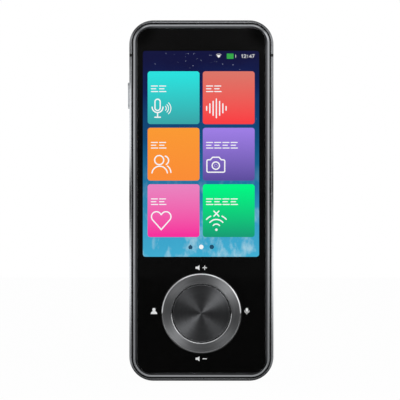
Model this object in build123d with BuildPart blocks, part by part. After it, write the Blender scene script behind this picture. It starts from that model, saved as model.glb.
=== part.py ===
from build123d import *
from math import cos, radians, sin
import os

# A handheld voice translator: a slim bar with a metal band round its edge, a cover glass over a
# tall display, a rocking ring with a centre key below it, and a talk key on the left edge.
# X runs to the right and Z up as the user looks at the display, and Y runs from the display to
# the back. The origin is the middle of the bottom edge. Lengths are millimetres.

os.makedirs("parts", exist_ok=True)

# Body
body_width = 52.0
body_height = 130.0
body_depth = 11.5
corner_radius = 8.7

# Metal band round the edge, with two plastic antenna breaks near the top
band_wall = 1.5
band_front_set_back = 1.15  # from the glass face to the band's front edge
band_back_set_back = 1.75  # from the back face to the band's back edge
band_front_chamfer = 0.65
band_back_chamfer = 0.4
break_drop = 12.6  # from the top of the body to the middle of the breaks
break_height = 1.0

# Groove and bezel between the band and the glass
groove_inset = 1.0
groove_width = 0.45
bezel_shoulder_drop = 1.05
bezel_chamfer = 0.7
bezel_lip_drop = 0.1
glass_inset = 2.85
glass_seat_gap = 0.05
ledge_width = 1.2
ledge_thickness = 0.65

# Cover glass and the tape that holds it
glass_thickness = 0.8
glass_edge_chamfer = 0.25
tape_thickness = 0.2
tape_margin = 0.15

# Display
display_side_margin = 5.0
display_top_margin = 10.8
display_key_gap = 3.0  # from the wall round the keys to the picture
display_border = 0.8
display_low_border = 1.2
colour_glass_top_border = 0.7
driver_ledge = 2.5
bond_thickness = 0.15
bond_margin = 0.3
cell_glass = 0.4
tray_depth = 1.1
tray_sheet = 0.2
light_guide_gap = 0.15
light_guide_thickness = 0.75
cushion_thickness = 0.2
cushion_width = 2.5
display_flex_width = 18.0
flex_thickness = 0.12
display_flex_bend = 0.7
flex_slot_margin = 0.5

# Moulded chassis
rail_width = 1.0
rail_depth = 7.0
plate_thickness = 0.8
nest_rib = 0.6
nest_gap = 0.15
nest_height = 1.2
boss_radius = 1.8
pilot_gap = 0.03

# Ring and centre key
key_height = 24.4
ring_radius = 14.3
ring_bore_radius = 10.55
ring_gap = 0.25
ring_proud = 0.4
ring_outer_chamfer = 0.4
ring_inner_chamfer = 0.4
carrier_drop = 0.55  # from the back of the glass to the carrier's flange
carrier_flange = 0.65
carrier_radius = 15.2
carrier_hole_radius = 10.3
key_directions = 4
tab_reach = 1.2
tab_width = 2.4
tab_thickness = 0.4
tab_gap = 0.25
nub_circle_radius = 12.3
nub_radius = 0.9
nub_gap = 0.05
cap_gap = 0.3
cap_set_back = 0.2  # from the ring's face to the centre cap's face
cap_thickness = 0.8
cap_chamfer = 0.15
plunger_wall_gap = 0.4
plunger_wall = 0.9
plunger_flange_radius = 11.0
plunger_flange = 0.45
plunger_clearance = 0.45
plunger_nub_radius = 1.5
well_gap = 0.7
well_wall = 1.3

# Key membrane, snap domes and key board
membrane_radius = 15.4
membrane_gap = 0.2
membrane_web = 0.35
membrane_rim = 0.8
membrane_pad = 0.1
dome_gap = 0.05
dome_sheet = 0.08
dome_run = 1.2  # how far a dome's side slopes in to its crown
ring_dome_radius = 2.0
centre_dome_radius = 2.5
key_board_size = 33.4
key_board_thickness = 0.5
key_board_corner_cut = 2.4
key_board_screw_inset = 2.1

# Talk key on the left edge
talk_key_drop = 27.05  # from the top of the body to the middle of the key
talk_key_length = 9.5
talk_key_width = 3.0
talk_key_gap = 0.2
talk_key_proud = 0.6
talk_key_chamfer = 0.25
talk_key_flange_margin = 0.6
talk_key_flange = 0.6
talk_key_flange_gap = 0.15
talk_key_travel = 0.3
switch_plunger_radius = 0.6
switch_plunger_gap = 0.05
switch_plunger_depth = 0.35
switch_length = 4.0
switch_width = 3.0
switch_depth = 1.4
switch_rest_gap = 0.15
switch_flex = 0.2
switch_rib = 1.0
switch_rib_length = 6.0
switch_rib_height = 1.9
talk_flex_tail = 4.0
talk_flex_landing = 2.2

# Screws
screw_radius = 0.7
screw_head_share = 1.8  # head radius as a multiple of the shank's
board_screw_grip = 1.0
screw_head = 0.5
small_screw_radius = 0.5
small_screw_head = 0.45
screw_hole_gap = 0.1
small_round_sides = 8  # flats that stand for the round of a small post or hole inside
wide_round_sides = 24  # the same for wider rounds, as those of the key stack
edge_round_flats = 3  # flats along the quarter round of the cover's edge

# Main board
board_gap_to_plate = 1.2
board_thickness = 0.8
board_length = 35.0
board_side_gap = 1.5
board_top_gap = 1.9
board_corner = 5.0
board_notch_depth = 2.0
board_notch_length = 18.0
board_screw_side = 4.5
board_screw_end = 3.4
large_can = (14.0, 17.0)
large_can_inset = (5.0, 8.1)  # from the left and top edges of the board
small_can = (12.0, 9.0)
small_can_gap = (0.5, 3.1)  # from the large can and from the bottom edge of the board
can_height = 1.4
can_sheet = 0.2
chip_height = 0.9
chip_margin = 1.5
connector_height = 0.8
connector_length = 2.6

# Battery
battery_side_gap = 4.5
battery_key_gap = 1.5
battery_board_gap = 1.4
battery_thickness = 4.6
battery_corner = 1.2
battery_tape = 0.15
bay_gap = 0.3
bay_rib = 0.8
bay_height = 1.8
lead_width = 7.0

# USB-C socket and its board
port_width = 8.94
port_height = 3.26
port_length = 6.7
port_sheet = 0.3
port_set_back = 0.35
port_slot_gap = 0.18
port_gap_to_plate = 0.77
tongue_width = 6.7
tongue_thickness = 0.7
tongue_set_back = 0.9
port_block = 1.0
usb_board_width = 34.0
usb_board_length = 11.6
usb_board_thickness = 0.8
usb_board_gap = 0.3
usb_boss_end = 1.8
usb_boss_rise = 2.2

# Microphones
mic_length = 3.5
mic_width = 2.6
mic_height = 1.0
mic_hole_radius = 0.5
low_mic_side = 11.5
top_mic_side = -6.0
mic_set_in = 1.7
mic_gasket_lip = 0.15

# Rear cover
cover_inset = 0.5
cover_round = 1.5
cover_wall = 1.1
lip_gap = 0.1
lip_wall = 0.9
lip_height = 1.0
hook_width = 3.0
hook_gap = 0.1
hook_thickness = 0.7
hook_catch = 0.4
hook_catch_length = 0.8
hook_reach = 3.6
hook_window_depth = 0.55
hook_window_gap = 0.3
hook_low = 22.0
hook_drop = 48.0  # from the top of the body to the highest hook
rib_thickness = 0.8
rib_height = 0.4
rib_pitch = 12.0
rib_count = 3  # each way

# Loudspeaker and its grille
grille_middle = 21.5
grille_length = 25.0
grille_width = 6.4
grille_sheet = 0.4
grille_set_back = 0.05
grille_gap = 0.1
grille_ledge = 1.1
mesh_sheet = 0.1
grille_hole_radius = 0.65
grille_hole_pitch = 2.1
grille_row_pitch = 1.5
grille_holes = 10  # in the middle row, and one fewer in the rows beside it
speaker_side_gap = 5.5
speaker_length = 20.0
speaker_bottom = 17.0
speaker_front_gap = 1.1
speaker_corner = 1.5
speaker_port_depth = 2.2
gasket_thickness = 0.65
gasket_width = 1.2

# Rear camera and flash
camera_inset = 11.0  # from the side of the body
camera_drop = 14.0  # from the top of the body
camera_base = 8.5
camera_base_height = 2.9
camera_barrel_radius = 3.4
camera_barrel_gap = 0.15
window_radius = 4.45
window_thickness = 0.65
window_gap = 0.05
trim_width = 0.8
trim_thickness = 0.7
trim_set_back = 0.1
camera_hole_radius = 3.9
camera_boss_wall = 2.0
camera_boss_height = 0.45
flash_drop = 10.0
flash_radius = 1.6
flash_head_margin = 0.55
flash_head = 0.35
flash_gap = 0.05
led_size = 2.2
led_height = 0.7
led_gap = 0.2

# Antenna foil
foil_width = 20.0
foil_length = 14.0
foil_sheet = 0.1
foil_side = -5.0
foil_drop = 14.0  # from the top of the body to the middle of the foil

# Depths through the body, from the glass to the back
front_face = -body_depth / 2
back_face = body_depth / 2
glass_back = front_face + glass_thickness
ledge_face = glass_back + tape_thickness
bezel_back = ledge_face + ledge_thickness
band_front = front_face + band_front_set_back
band_back = back_face - band_back_set_back
band_middle = (band_front + band_back) / 2
cell_front = glass_back + bond_thickness
cell_back = cell_front + 2 * cell_glass
tray_back = cell_back + tray_depth
plate_front = tray_back + cushion_thickness
plate_back = plate_front + plate_thickness
rail_back = bezel_back + rail_depth
cover_inside = back_face - cover_wall

# Insets from the outside of the body, and the places that follow from them
bezel_inset = groove_inset + groove_width
bezel_crease_inset = bezel_inset + bezel_chamfer
seat_inset = glass_inset - glass_seat_gap
ledge_inset = seat_inset + ledge_width
inner_inset = band_wall + rail_width
body_middle = body_height / 2
key_centre = (0, key_height)
left_side = -body_width / 2
well_radius = carrier_radius + well_gap
display_width = body_width - 2 * display_side_margin
display_bottom = key_height + well_radius + well_wall + display_key_gap
display_top = body_height - display_top_margin
display_height = display_top - display_bottom
display_middle = (display_bottom + display_top) / 2
break_middle = body_height - break_drop
talk_key_middle = body_height - talk_key_drop
board_width = body_width - 2 * (inner_inset + board_side_gap)
board_left = -board_width / 2
board_top = body_height - inner_inset - board_top_gap
board_bottom = board_top - board_length
battery_width = body_width - 2 * (inner_inset + battery_side_gap)
battery_bottom = key_height + key_board_size / 2 + battery_key_gap
battery_top = board_bottom - battery_board_gap
battery_length = battery_top - battery_bottom
battery_middle = (battery_bottom + battery_top) / 2
speaker_width = body_width - 2 * (inner_inset + speaker_side_gap)
camera_place = (body_width / 2 - camera_inset, body_height - camera_drop)
hook_high = body_height - hook_drop
hook_heights = (hook_low, (hook_low + hook_high) / 2, hook_high)
usb_board_low = inner_inset + usb_board_gap
cell_width = display_width + 2 * display_border
cell_bottom = display_bottom - display_low_border
colour_glass_top = display_top + colour_glass_top_border
cell_top = colour_glass_top + driver_ledge


def layer(depth):
    """A sketching plane across the body at that depth. A positive extrusion comes to the front."""
    return Plane.XZ.offset(-depth)


def body_outline(inset, mode=Mode.ADD):
    """The rounded outline of the body, drawn in by inset all round."""
    with Locations((0, body_middle)):
        RectangleRounded(
            body_width - 2 * inset, body_height - 2 * inset, corner_radius - inset, mode=mode
        )


def small_round(radius, mode=Mode.ADD):
    """The section of a small post or hole inside the body, with flats in place of a circle."""
    RegularPolygon(radius, small_round_sides, mode=mode)


def wide_round(radius, mode=Mode.ADD):
    """The section of a wider round piece, with more flats in place of a circle."""
    RegularPolygon(radius, wide_round_sides, mode=mode)


def quarter_round(radius):
    """The points of a quarter round in flats, as (run in, rise) from where it leaves the side."""
    angles = [radians(90 * flat / edge_round_flats) for flat in range(edge_round_flats + 1)]
    return [(radius * (1 - cos(angle)), radius * sin(angle)) for angle in angles]


def rectangle_between(left, right, low, high, mode=Mode.ADD):
    """A rectangle across the body from left to right and from low to high."""
    with Locations(((left + right) / 2, (low + high) / 2)):
        Rectangle(right - left, high - low, mode=mode)


# Line that the band and the bezel follow round the body.
with BuildSketch(layer(0)) as edge_line:
    body_outline(0)
edge_path = edge_line.sketch.faces()[0].outer_wire()

# Metal band. Its section has a wide chamfer in front, a step that the bezel sits on and a groove
# floor in front of it. The ring is made whole here, and the pieces below are parted from it.
with BuildPart() as band_ring:
    with BuildSketch(Plane.XY.offset(body_middle)):
        with BuildLine():
            Polyline(
                (body_width / 2, band_front + band_front_chamfer),
                (body_width / 2 - band_front_chamfer, band_front),
                (body_width / 2 - groove_inset, band_front),
                (body_width / 2 - groove_inset, bezel_back),
                (body_width / 2 - band_wall, bezel_back),
                (body_width / 2 - band_wall, band_back),
                (body_width / 2 - band_back_chamfer, band_back),
                (body_width / 2, band_back - band_back_chamfer),
                close=True,
            )
        make_face()
    sweep(path=edge_path)

break_low = break_middle - break_height / 2
break_high = break_middle + break_height / 2
port_middle = plate_back + port_gap_to_plate + port_height / 2
talk_key_slot_length = talk_key_length + 2 * talk_key_gap
talk_key_slot_width = talk_key_width + 2 * talk_key_gap
usb_board_front = port_middle + port_height / 2
low_mic_depth = usb_board_front - mic_height / 2
board_front = plate_back + board_gap_to_plate
board_back = board_front + board_thickness
top_mic_depth = board_back + mic_height / 2

# Lower band: a long U with the talk key's slot, the USB-C slot and the lower microphone's hole.
with BuildPart() as band_lower:
    add(band_ring.part)
    split(bisect_by=Plane.XY.offset(break_low), keep=Keep.BOTTOM)
    with BuildSketch(Plane.YZ.offset(left_side)):
        with Locations((band_middle, talk_key_middle)):
            SlotOverall(talk_key_slot_length, talk_key_slot_width, rotation=90)
    extrude(amount=band_wall, mode=Mode.SUBTRACT)
    with BuildSketch(Plane.XY):
        with Locations((0, port_middle)):
            SlotOverall(port_width + 2 * port_slot_gap, port_height + 2 * port_slot_gap)
        with Locations((low_mic_side, low_mic_depth)):
            Circle(mic_hole_radius)
    extrude(amount=band_wall, mode=Mode.SUBTRACT)
band_lower.part.label = "band_lower"
export_step(band_lower.part, "parts/band_lower.step")

# Top band: the cap above the breaks, with the upper microphone's hole.
with BuildPart() as band_top:
    add(band_ring.part)
    split(bisect_by=Plane.XY.offset(break_high), keep=Keep.TOP)
    with BuildSketch(Plane.XY.offset(body_height - band_wall)):
        with Locations((top_mic_side, top_mic_depth)):
            Circle(mic_hole_radius)
    extrude(amount=band_wall, mode=Mode.SUBTRACT)
band_top.part.label = "band_top"
export_step(band_top.part, "parts/band_top.step")

# Antenna breaks: plastic strips that part the two metal bands, one on each side.
for side_name, kept_side in (("left", Keep.BOTTOM), ("right", Keep.TOP)):
    with BuildPart() as antenna_break:
        add(band_ring.part)
        split(bisect_by=Plane.XY.offset(break_low), keep=Keep.TOP)
        split(bisect_by=Plane.XY.offset(break_high), keep=Keep.BOTTOM)
        split(bisect_by=Plane.YZ, keep=kept_side)
    antenna_break.part.label = f"antenna_break_{side_name}"
    export_step(antenna_break.part, f"parts/antenna_break_{side_name}.step")

# Bezel: a slim frame whose polished chamfer and shallow inner slope lead up to the glass, with
# a ledge under the glass.
with BuildPart() as front_bezel:
    with BuildSketch(Plane.XY.offset(body_middle)):
        with BuildLine():
            Polyline(
                (body_width / 2 - bezel_inset, bezel_back),
                (body_width / 2 - bezel_inset, front_face + bezel_shoulder_drop),
                (
                    body_width / 2 - bezel_crease_inset,
                    front_face + bezel_shoulder_drop - bezel_chamfer,
                ),
                (body_width / 2 - seat_inset, front_face + bezel_lip_drop),
                (body_width / 2 - seat_inset, ledge_face),
                (body_width / 2 - ledge_inset, ledge_face),
                (body_width / 2 - ledge_inset, bezel_back),
                close=True,
            )
        make_face()
    sweep(path=edge_path)
front_bezel.part.label = "front_bezel"
export_step(front_bezel.part, "parts/front_bezel.step")

# Cover glass, with its hole for the ring.
glass_hole_radius = ring_radius + ring_gap
with BuildPart() as front_glass:
    with BuildSketch(layer(glass_back)):
        body_outline(glass_inset)
        with Locations(key_centre):
            Circle(glass_hole_radius, mode=Mode.SUBTRACT)
    extrude(amount=glass_thickness)
    glass_front = front_glass.faces().sort_by(Axis.Y)[0]
    chamfer(glass_front.outer_wire().edges(), glass_edge_chamfer)
front_glass.part.label = "front_glass"
export_step(front_glass.part, "parts/front_glass.step")

# Glass tape: a frame on the bezel's ledge, and a ring on the chassis wall round the keys.
with BuildPart() as glass_tape:
    with BuildSketch(layer(ledge_face)):
        body_outline(glass_inset + tape_margin)
        body_outline(ledge_inset, mode=Mode.SUBTRACT)
        with Locations(key_centre):
            wide_round(well_radius + well_wall)
            wide_round(well_radius, mode=Mode.SUBTRACT)
    extrude(amount=tape_thickness)
glass_tape.part.label = "glass_tape"
export_step(glass_tape.part, "parts/glass_tape.step")

# Optical bond: the clear adhesive sheet between the glass and the display cell.
with BuildPart() as optical_bond:
    with BuildSketch(layer(cell_front)):
        with Locations((0, display_middle)):
            Rectangle(display_width + 2 * bond_margin, display_height + 2 * bond_margin)
    extrude(amount=bond_thickness)
optical_bond.part.label = "optical_bond"
export_step(optical_bond.part, "parts/optical_bond.step")

# Display cell: two glass sheets. The rear one runs on past the front one as the driver ledge.
with BuildPart() as display_cell:
    with BuildSketch(layer(cell_back)):
        rectangle_between(-cell_width / 2, cell_width / 2, cell_bottom, cell_top)
    extrude(amount=cell_glass)
    with BuildSketch(layer(cell_back - cell_glass)):
        rectangle_between(-cell_width / 2, cell_width / 2, cell_bottom, colour_glass_top)
    extrude(amount=cell_glass)
display_cell.part.label = "display_cell"
export_step(display_cell.part, "parts/display_cell.step")

# Backlight tray: folded steel sheet, open to the front, under the picture area of the cell.
with BuildPart() as backlight_tray:
    with BuildSketch(layer(tray_back)):
        rectangle_between(-cell_width / 2, cell_width / 2, cell_bottom, colour_glass_top)
    extrude(amount=tray_depth)
    offset(amount=-tray_sheet, openings=backlight_tray.faces().sort_by(Axis.Y)[0])
backlight_tray.part.label = "backlight_tray"
export_step(backlight_tray.part, "parts/backlight_tray.step")

# Light guide: the acrylic sheet in the tray.
guide_margin = tray_sheet + light_guide_gap
with BuildPart() as light_guide:
    with BuildSketch(layer(tray_back - tray_sheet)):
        rectangle_between(
            -cell_width / 2 + guide_margin,
            cell_width / 2 - guide_margin,
            cell_bottom + guide_margin,
            colour_glass_top - guide_margin,
        )
    extrude(amount=light_guide_thickness)
light_guide.part.label = "light_guide"
export_step(light_guide.part, "parts/light_guide.step")

# Display cushion: a thin foam frame between the tray and the chassis plate.
with BuildPart() as display_cushion:
    with BuildSketch(layer(plate_front)):
        rectangle_between(-cell_width / 2, cell_width / 2, cell_bottom, colour_glass_top)
        rectangle_between(
            -cell_width / 2 + cushion_width,
            cell_width / 2 - cushion_width,
            cell_bottom + cushion_width,
            colour_glass_top - cushion_width,
            mode=Mode.SUBTRACT,
        )
    extrude(amount=cushion_thickness)
display_cushion.part.label = "display_cushion"
export_step(display_cushion.part, "parts/display_cushion.step")

# Display flex: it leaves the front of the driver ledge, turns over the top of the cell, passes
# through a slot in the chassis plate and turns down to a connector on the main board.
flex_line_front = cell_back - cell_glass - flex_thickness / 2
flex_line_back = board_front - connector_height - flex_thickness / 2
flex_crest = cell_top + 2 * display_flex_bend
display_connector_top = flex_crest - 3 * display_flex_bend
with BuildPart() as display_flex:
    with BuildSketch(Plane.YZ.offset(-display_flex_width / 2)):
        with BuildLine():
            FilletPolyline(
                (flex_line_front, cell_top - driver_ledge / 2),
                (flex_line_front, flex_crest),
                (flex_line_back, flex_crest),
                (flex_line_back, display_connector_top - connector_length),
                radius=display_flex_bend,
            )
        trace(line_width=flex_thickness)
    extrude(amount=display_flex_width)
display_flex.part.label = "display_flex"
export_step(display_flex.part, "parts/display_flex.step")

# Places on the boards that the chassis bosses, the screws and the boards share
board_screw_places = [
    (side * (board_width / 2 - board_screw_side), height)
    for side in (-1, 1)
    for height in (board_bottom + board_screw_end, board_top - board_screw_end)
]
usb_screw_side = usb_board_width / 2 - usb_boss_end
usb_screw_places = [(side * usb_screw_side, usb_board_low + usb_boss_rise) for side in (-1, 1)]
key_board_screw_side = key_board_size / 2 - key_board_screw_inset
key_board_screw_places = [
    (side * key_board_screw_side, key_height + level * key_board_screw_side)
    for side in (-1, 1)
    for level in (-1, 1)
]
key_board_back = plate_back + key_board_thickness
talk_flange_out = left_side + band_wall + talk_key_flange_gap
talk_flange_in = talk_flange_out + talk_key_flange
switch_face = talk_flange_in + talk_key_travel + switch_rest_gap
switch_back = switch_face + switch_depth
talk_flange_length = talk_key_slot_length + 2 * talk_key_flange_margin
talk_flange_width = talk_key_slot_width + 2 * talk_key_flange_margin
hook_tip = cover_inside - hook_reach

# Chassis: the moulded frame inside the band. A rail runs round the edge, a plate crosses it,
# and the plate carries the display's nest, the wall round the keys, the battery bay and the
# bosses for the boards.
with BuildPart() as chassis:
    with BuildSketch(layer(rail_back)):
        body_outline(band_wall)
        body_outline(inner_inset, mode=Mode.SUBTRACT)
    extrude(amount=rail_depth)
    with BuildSketch(layer(plate_back)):
        body_outline(inner_inset)
    extrude(amount=plate_thickness)
    # nest ribs beside and below the display
    with BuildSketch(layer(plate_front)):
        rectangle_between(
            -cell_width / 2 - nest_gap - nest_rib,
            cell_width / 2 + nest_gap + nest_rib,
            cell_bottom - nest_gap - nest_rib,
            colour_glass_top,
        )
        rectangle_between(
            -cell_width / 2 - nest_gap,
            cell_width / 2 + nest_gap,
            cell_bottom - nest_gap,
            colour_glass_top,
            mode=Mode.SUBTRACT,
        )
    extrude(amount=nest_height)
    # wall round the keys, with gaps for the carrier's four tabs
    with BuildSketch(layer(plate_front)):
        with Locations(key_centre):
            wide_round(well_radius + well_wall)
            wide_round(well_radius, mode=Mode.SUBTRACT)
            with PolarLocations(well_radius + well_wall / 2, key_directions, start_angle=45):
                Rectangle(2 * well_wall, tab_width + 2 * tab_gap, mode=Mode.SUBTRACT)
    extrude(amount=plate_front - ledge_face)
    # battery bay and the rib behind the talk key's switch
    with BuildSketch(layer(plate_back)):
        with Locations((0, battery_middle)):
            Rectangle(
                battery_width + 2 * (bay_gap + bay_rib), battery_length + 2 * (bay_gap + bay_rib)
            )
            Rectangle(
                battery_width + 2 * bay_gap, battery_length + 2 * bay_gap, mode=Mode.SUBTRACT
            )
    extrude(amount=-bay_height)
    with BuildSketch(layer(plate_back)):
        with Locations((switch_back + switch_flex + switch_rib / 2, talk_key_middle)):
            Rectangle(switch_rib, switch_rib_length)
    extrude(amount=-switch_rib_height)
    # bosses under the main board and the USB board
    with BuildSketch(layer(plate_back)):
        with Locations(*board_screw_places):
            small_round(boss_radius)
    extrude(amount=-board_gap_to_plate)
    with BuildSketch(layer(plate_back)):
        with Locations(*usb_screw_places):
            small_round(boss_radius)
    extrude(amount=plate_back - usb_board_front)
    # pilot holes in the bosses and the plate, and the opening for the key membrane
    with BuildSketch(layer(board_front)):
        with Locations(*board_screw_places):
            small_round(screw_radius + pilot_gap)
    extrude(amount=board_gap_to_plate, mode=Mode.SUBTRACT)
    with BuildSketch(layer(usb_board_front)):
        with Locations(*usb_screw_places):
            small_round(screw_radius + pilot_gap)
    extrude(amount=usb_board_front - plate_back, mode=Mode.SUBTRACT)
    with BuildSketch(layer(plate_back)):
        with Locations(*key_board_screw_places):
            small_round(small_screw_radius + pilot_gap)
        with Locations(key_centre):
            wide_round(membrane_radius + membrane_gap)
    extrude(amount=plate_thickness, mode=Mode.SUBTRACT)
    # slot for the display flex
    with BuildSketch(layer(plate_back)):
        with Locations((0, flex_crest)):
            Rectangle(display_flex_width + 2 * flex_slot_margin, 4 * display_flex_bend)
    extrude(amount=plate_thickness, mode=Mode.SUBTRACT)
    # way in for the talk key's flange, through the rail and the edge of the plate
    with BuildSketch(Plane.YZ.offset(left_side + band_wall)):
        with Locations((band_middle, talk_key_middle)):
            Rectangle(talk_flange_width + 2 * talk_key_gap, talk_flange_length + 2 * talk_key_gap)
    extrude(amount=switch_face - left_side - band_wall, mode=Mode.SUBTRACT)
    # ways through the rail for the USB-C socket and the two microphones
    with BuildSketch(Plane.XY.offset(band_wall)):
        with Locations((0, port_middle)):
            SlotOverall(port_width + 2 * port_slot_gap, port_height + 2 * port_slot_gap)
        with Locations((low_mic_side, low_mic_depth)):
            small_round(mic_hole_radius)
    extrude(amount=rail_width, mode=Mode.SUBTRACT)
    with BuildSketch(Plane.XY.offset(body_height - inner_inset)):
        with Locations((top_mic_side, top_mic_depth)):
            small_round(mic_hole_radius)
    extrude(amount=rail_width, mode=Mode.SUBTRACT)
    # windows in the rail that the cover's hooks catch
    for hook_height in hook_heights:
        for side in (-1, 1):
            with BuildSketch(layer(hook_tip + hook_catch_length + hook_window_gap)):
                with Locations(
                    (side * (body_width / 2 - inner_inset + hook_window_depth / 2), hook_height)
                ):
                    Rectangle(hook_window_depth, hook_width + 2 * hook_window_gap)
            extrude(amount=hook_catch_length + 2 * hook_window_gap, mode=Mode.SUBTRACT)
chassis.part.label = "chassis"
export_step(chassis.part, "parts/chassis.step")

# Ring: turned aluminium with a bright chamfer on both front edges, bonded to its carrier.
ring_face = front_face - ring_proud
carrier_face = glass_back + carrier_drop
with BuildPart() as nav_ring:
    with BuildSketch(layer(carrier_face)):
        with Locations(key_centre):
            Circle(ring_radius)
            Circle(ring_bore_radius, mode=Mode.SUBTRACT)
    extrude(amount=carrier_face - ring_face)
    ring_front = nav_ring.faces().sort_by(Axis.Y)[0]
    chamfer(ring_front.outer_wire().edges(), ring_outer_chamfer)
    ring_front = nav_ring.faces().sort_by(Axis.Y)[0]
    chamfer(ring_front.inner_wires()[0].edges(), ring_inner_chamfer)
nav_ring.part.label = "nav_ring"
export_step(nav_ring.part, "parts/nav_ring.step")

# Ring carrier: a moulded flange behind the glass. The ring stands on it, its four tabs stop it
# turning, and its four nubs stand over the snap domes.
carrier_back = carrier_face + carrier_flange
nub_end = plate_front - nub_gap
with BuildPart() as ring_carrier:
    with BuildSketch(layer(carrier_back)):
        with Locations(key_centre):
            wide_round(carrier_radius)
            wide_round(carrier_hole_radius, mode=Mode.SUBTRACT)
    extrude(amount=carrier_flange)
    with BuildSketch(layer(carrier_back)):
        with Locations(key_centre):
            with PolarLocations(carrier_radius, key_directions, start_angle=45):
                Rectangle(2 * tab_reach, tab_width)
    extrude(amount=tab_thickness)
    with BuildSketch(layer(nub_end)):
        with Locations(key_centre):
            with PolarLocations(nub_circle_radius, key_directions):
                small_round(nub_radius)
    extrude(amount=nub_end - carrier_back)
ring_carrier.part.label = "ring_carrier"
export_step(ring_carrier.part, "parts/ring_carrier.step")

# Centre cap: a thin spun aluminium disc.
cap_face = ring_face + cap_set_back
cap_back = cap_face + cap_thickness
cap_radius = ring_bore_radius - cap_gap
with BuildPart() as centre_cap:
    with BuildSketch(layer(cap_back)):
        with Locations(key_centre):
            Circle(cap_radius)
    extrude(amount=cap_thickness)
    chamfer(centre_cap.faces().sort_by(Axis.Y)[0].edges(), cap_chamfer)
centre_cap.part.label = "centre_cap"
export_step(centre_cap.part, "parts/centre_cap.step")

# Centre plunger: a moulded cup under the cap, with a flange that the carrier holds in and a nub
# over the middle dome.
plunger_radius = carrier_hole_radius - plunger_wall_gap
plunger_flange_front = carrier_back + plunger_clearance
plunger_back = plunger_flange_front + plunger_flange
with BuildPart() as centre_plunger:
    with BuildSketch(layer(plunger_back)):
        with Locations(key_centre):
            wide_round(plunger_flange_radius)
    extrude(amount=plunger_flange)
    with BuildSketch(layer(plunger_flange_front)):
        with Locations(key_centre):
            wide_round(plunger_radius)
            wide_round(plunger_radius - plunger_wall, mode=Mode.SUBTRACT)
    extrude(amount=plunger_flange_front - cap_back)
    with BuildSketch(layer(plunger_flange_front)):
        with Locations(key_centre):
            Rectangle(2 * (plunger_radius - plunger_wall / 2), plunger_wall)
            Rectangle(plunger_wall, 2 * (plunger_radius - plunger_wall / 2))
    extrude(amount=plunger_flange_front - cap_back)
    with BuildSketch(layer(nub_end)):
        with Locations(key_centre):
            small_round(plunger_nub_radius)
    extrude(amount=nub_end - plunger_back)
centre_plunger.part.label = "centre_plunger"
export_step(centre_plunger.part, "parts/centre_plunger.step")

# Key membrane: a silicone sheet on a rim, with a pad over each dome.
web_back = plate_front + membrane_web
with BuildPart() as key_membrane:
    with BuildSketch(layer(web_back)):
        with Locations(key_centre):
            wide_round(membrane_radius)
    extrude(amount=membrane_web)
    with BuildSketch(layer(plate_back)):
        with Locations(key_centre):
            wide_round(membrane_radius)
            wide_round(membrane_radius - membrane_rim, mode=Mode.SUBTRACT)
    extrude(amount=plate_back - web_back)
    with BuildSketch(layer(web_back + membrane_pad)):
        with Locations(key_centre):
            small_round(plunger_nub_radius)
            with PolarLocations(nub_circle_radius, key_directions):
                small_round(nub_radius)
    extrude(amount=membrane_pad)
key_membrane.part.label = "key_membrane"
export_step(key_membrane.part, "parts/key_membrane.step")

# Snap domes: five shallow stainless caps on the key board, one under each nub.
dome_height = plate_back - web_back - membrane_pad - dome_gap
ring_domes = [
    (place.position.X, key_height + place.position.Y)
    for place in PolarLocations(nub_circle_radius, key_directions)
]
dome_places = [(centre_dome_radius, key_centre)] + [(ring_dome_radius, place) for place in ring_domes]
with BuildPart() as snap_domes:
    for dome_radius, place in dome_places:
        with BuildSketch(layer(plate_back)):
            with Locations(place):
                small_round(dome_radius)
        extrude(amount=dome_height)
        crown = snap_domes.faces(Select.LAST).sort_by(Axis.Y)[0]
        chamfer(crown.edges(), dome_run, dome_height - dome_sheet, reference=crown)
        with BuildSketch(layer(plate_back)):
            with Locations(place):
                small_round(dome_radius - dome_run)
        extrude(amount=dome_height - dome_sheet, mode=Mode.SUBTRACT)
snap_domes.part.label = "snap_domes"
export_step(snap_domes.part, "parts/snap_domes.step")

# Key board: a square board behind the plate, held by a screw near each of its cut corners.
with BuildPart() as key_board:
    with BuildSketch(layer(key_board_back)) as key_board_shape:
        with Locations(key_centre):
            Rectangle(key_board_size, key_board_size)
        chamfer(key_board_shape.vertices(), key_board_corner_cut)
        with Locations(*key_board_screw_places):
            small_round(small_screw_radius + screw_hole_gap, mode=Mode.SUBTRACT)
    extrude(amount=key_board_thickness)
key_board.part.label = "key_board"
export_step(key_board.part, "parts/key_board.step")

# Talk key: a pill-shaped metal key with a flange behind the band.
with BuildPart() as talk_key:
    with BuildSketch(Plane.YZ.offset(talk_flange_out)):
        with Locations((band_middle, talk_key_middle)):
            SlotOverall(talk_key_length, talk_key_width, rotation=90)
    extrude(amount=left_side - talk_key_proud - talk_flange_out)
    chamfer(talk_key.faces().sort_by(Axis.X)[0].edges(), talk_key_chamfer)
    with BuildSketch(Plane.YZ.offset(talk_flange_out)):
        with Locations((band_middle, talk_key_middle)):
            Rectangle(talk_flange_width, talk_flange_length)
    extrude(amount=talk_key_flange)
talk_key.part.label = "talk_key"
export_step(talk_key.part, "parts/talk_key.step")

# Switch plunger: the small post between the talk key and the inside of its switch.
switch_bore = talk_key_travel + switch_rest_gap + switch_plunger_depth + switch_rest_gap
with BuildPart() as switch_plunger:
    with BuildSketch(Plane.YZ.offset(talk_flange_in)):
        with Locations((band_middle, talk_key_middle)):
            Circle(switch_plunger_radius)
    extrude(amount=switch_face - talk_flange_in + switch_plunger_depth)
switch_plunger.part.label = "switch_plunger"
export_step(switch_plunger.part, "parts/switch_plunger.step")

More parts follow.
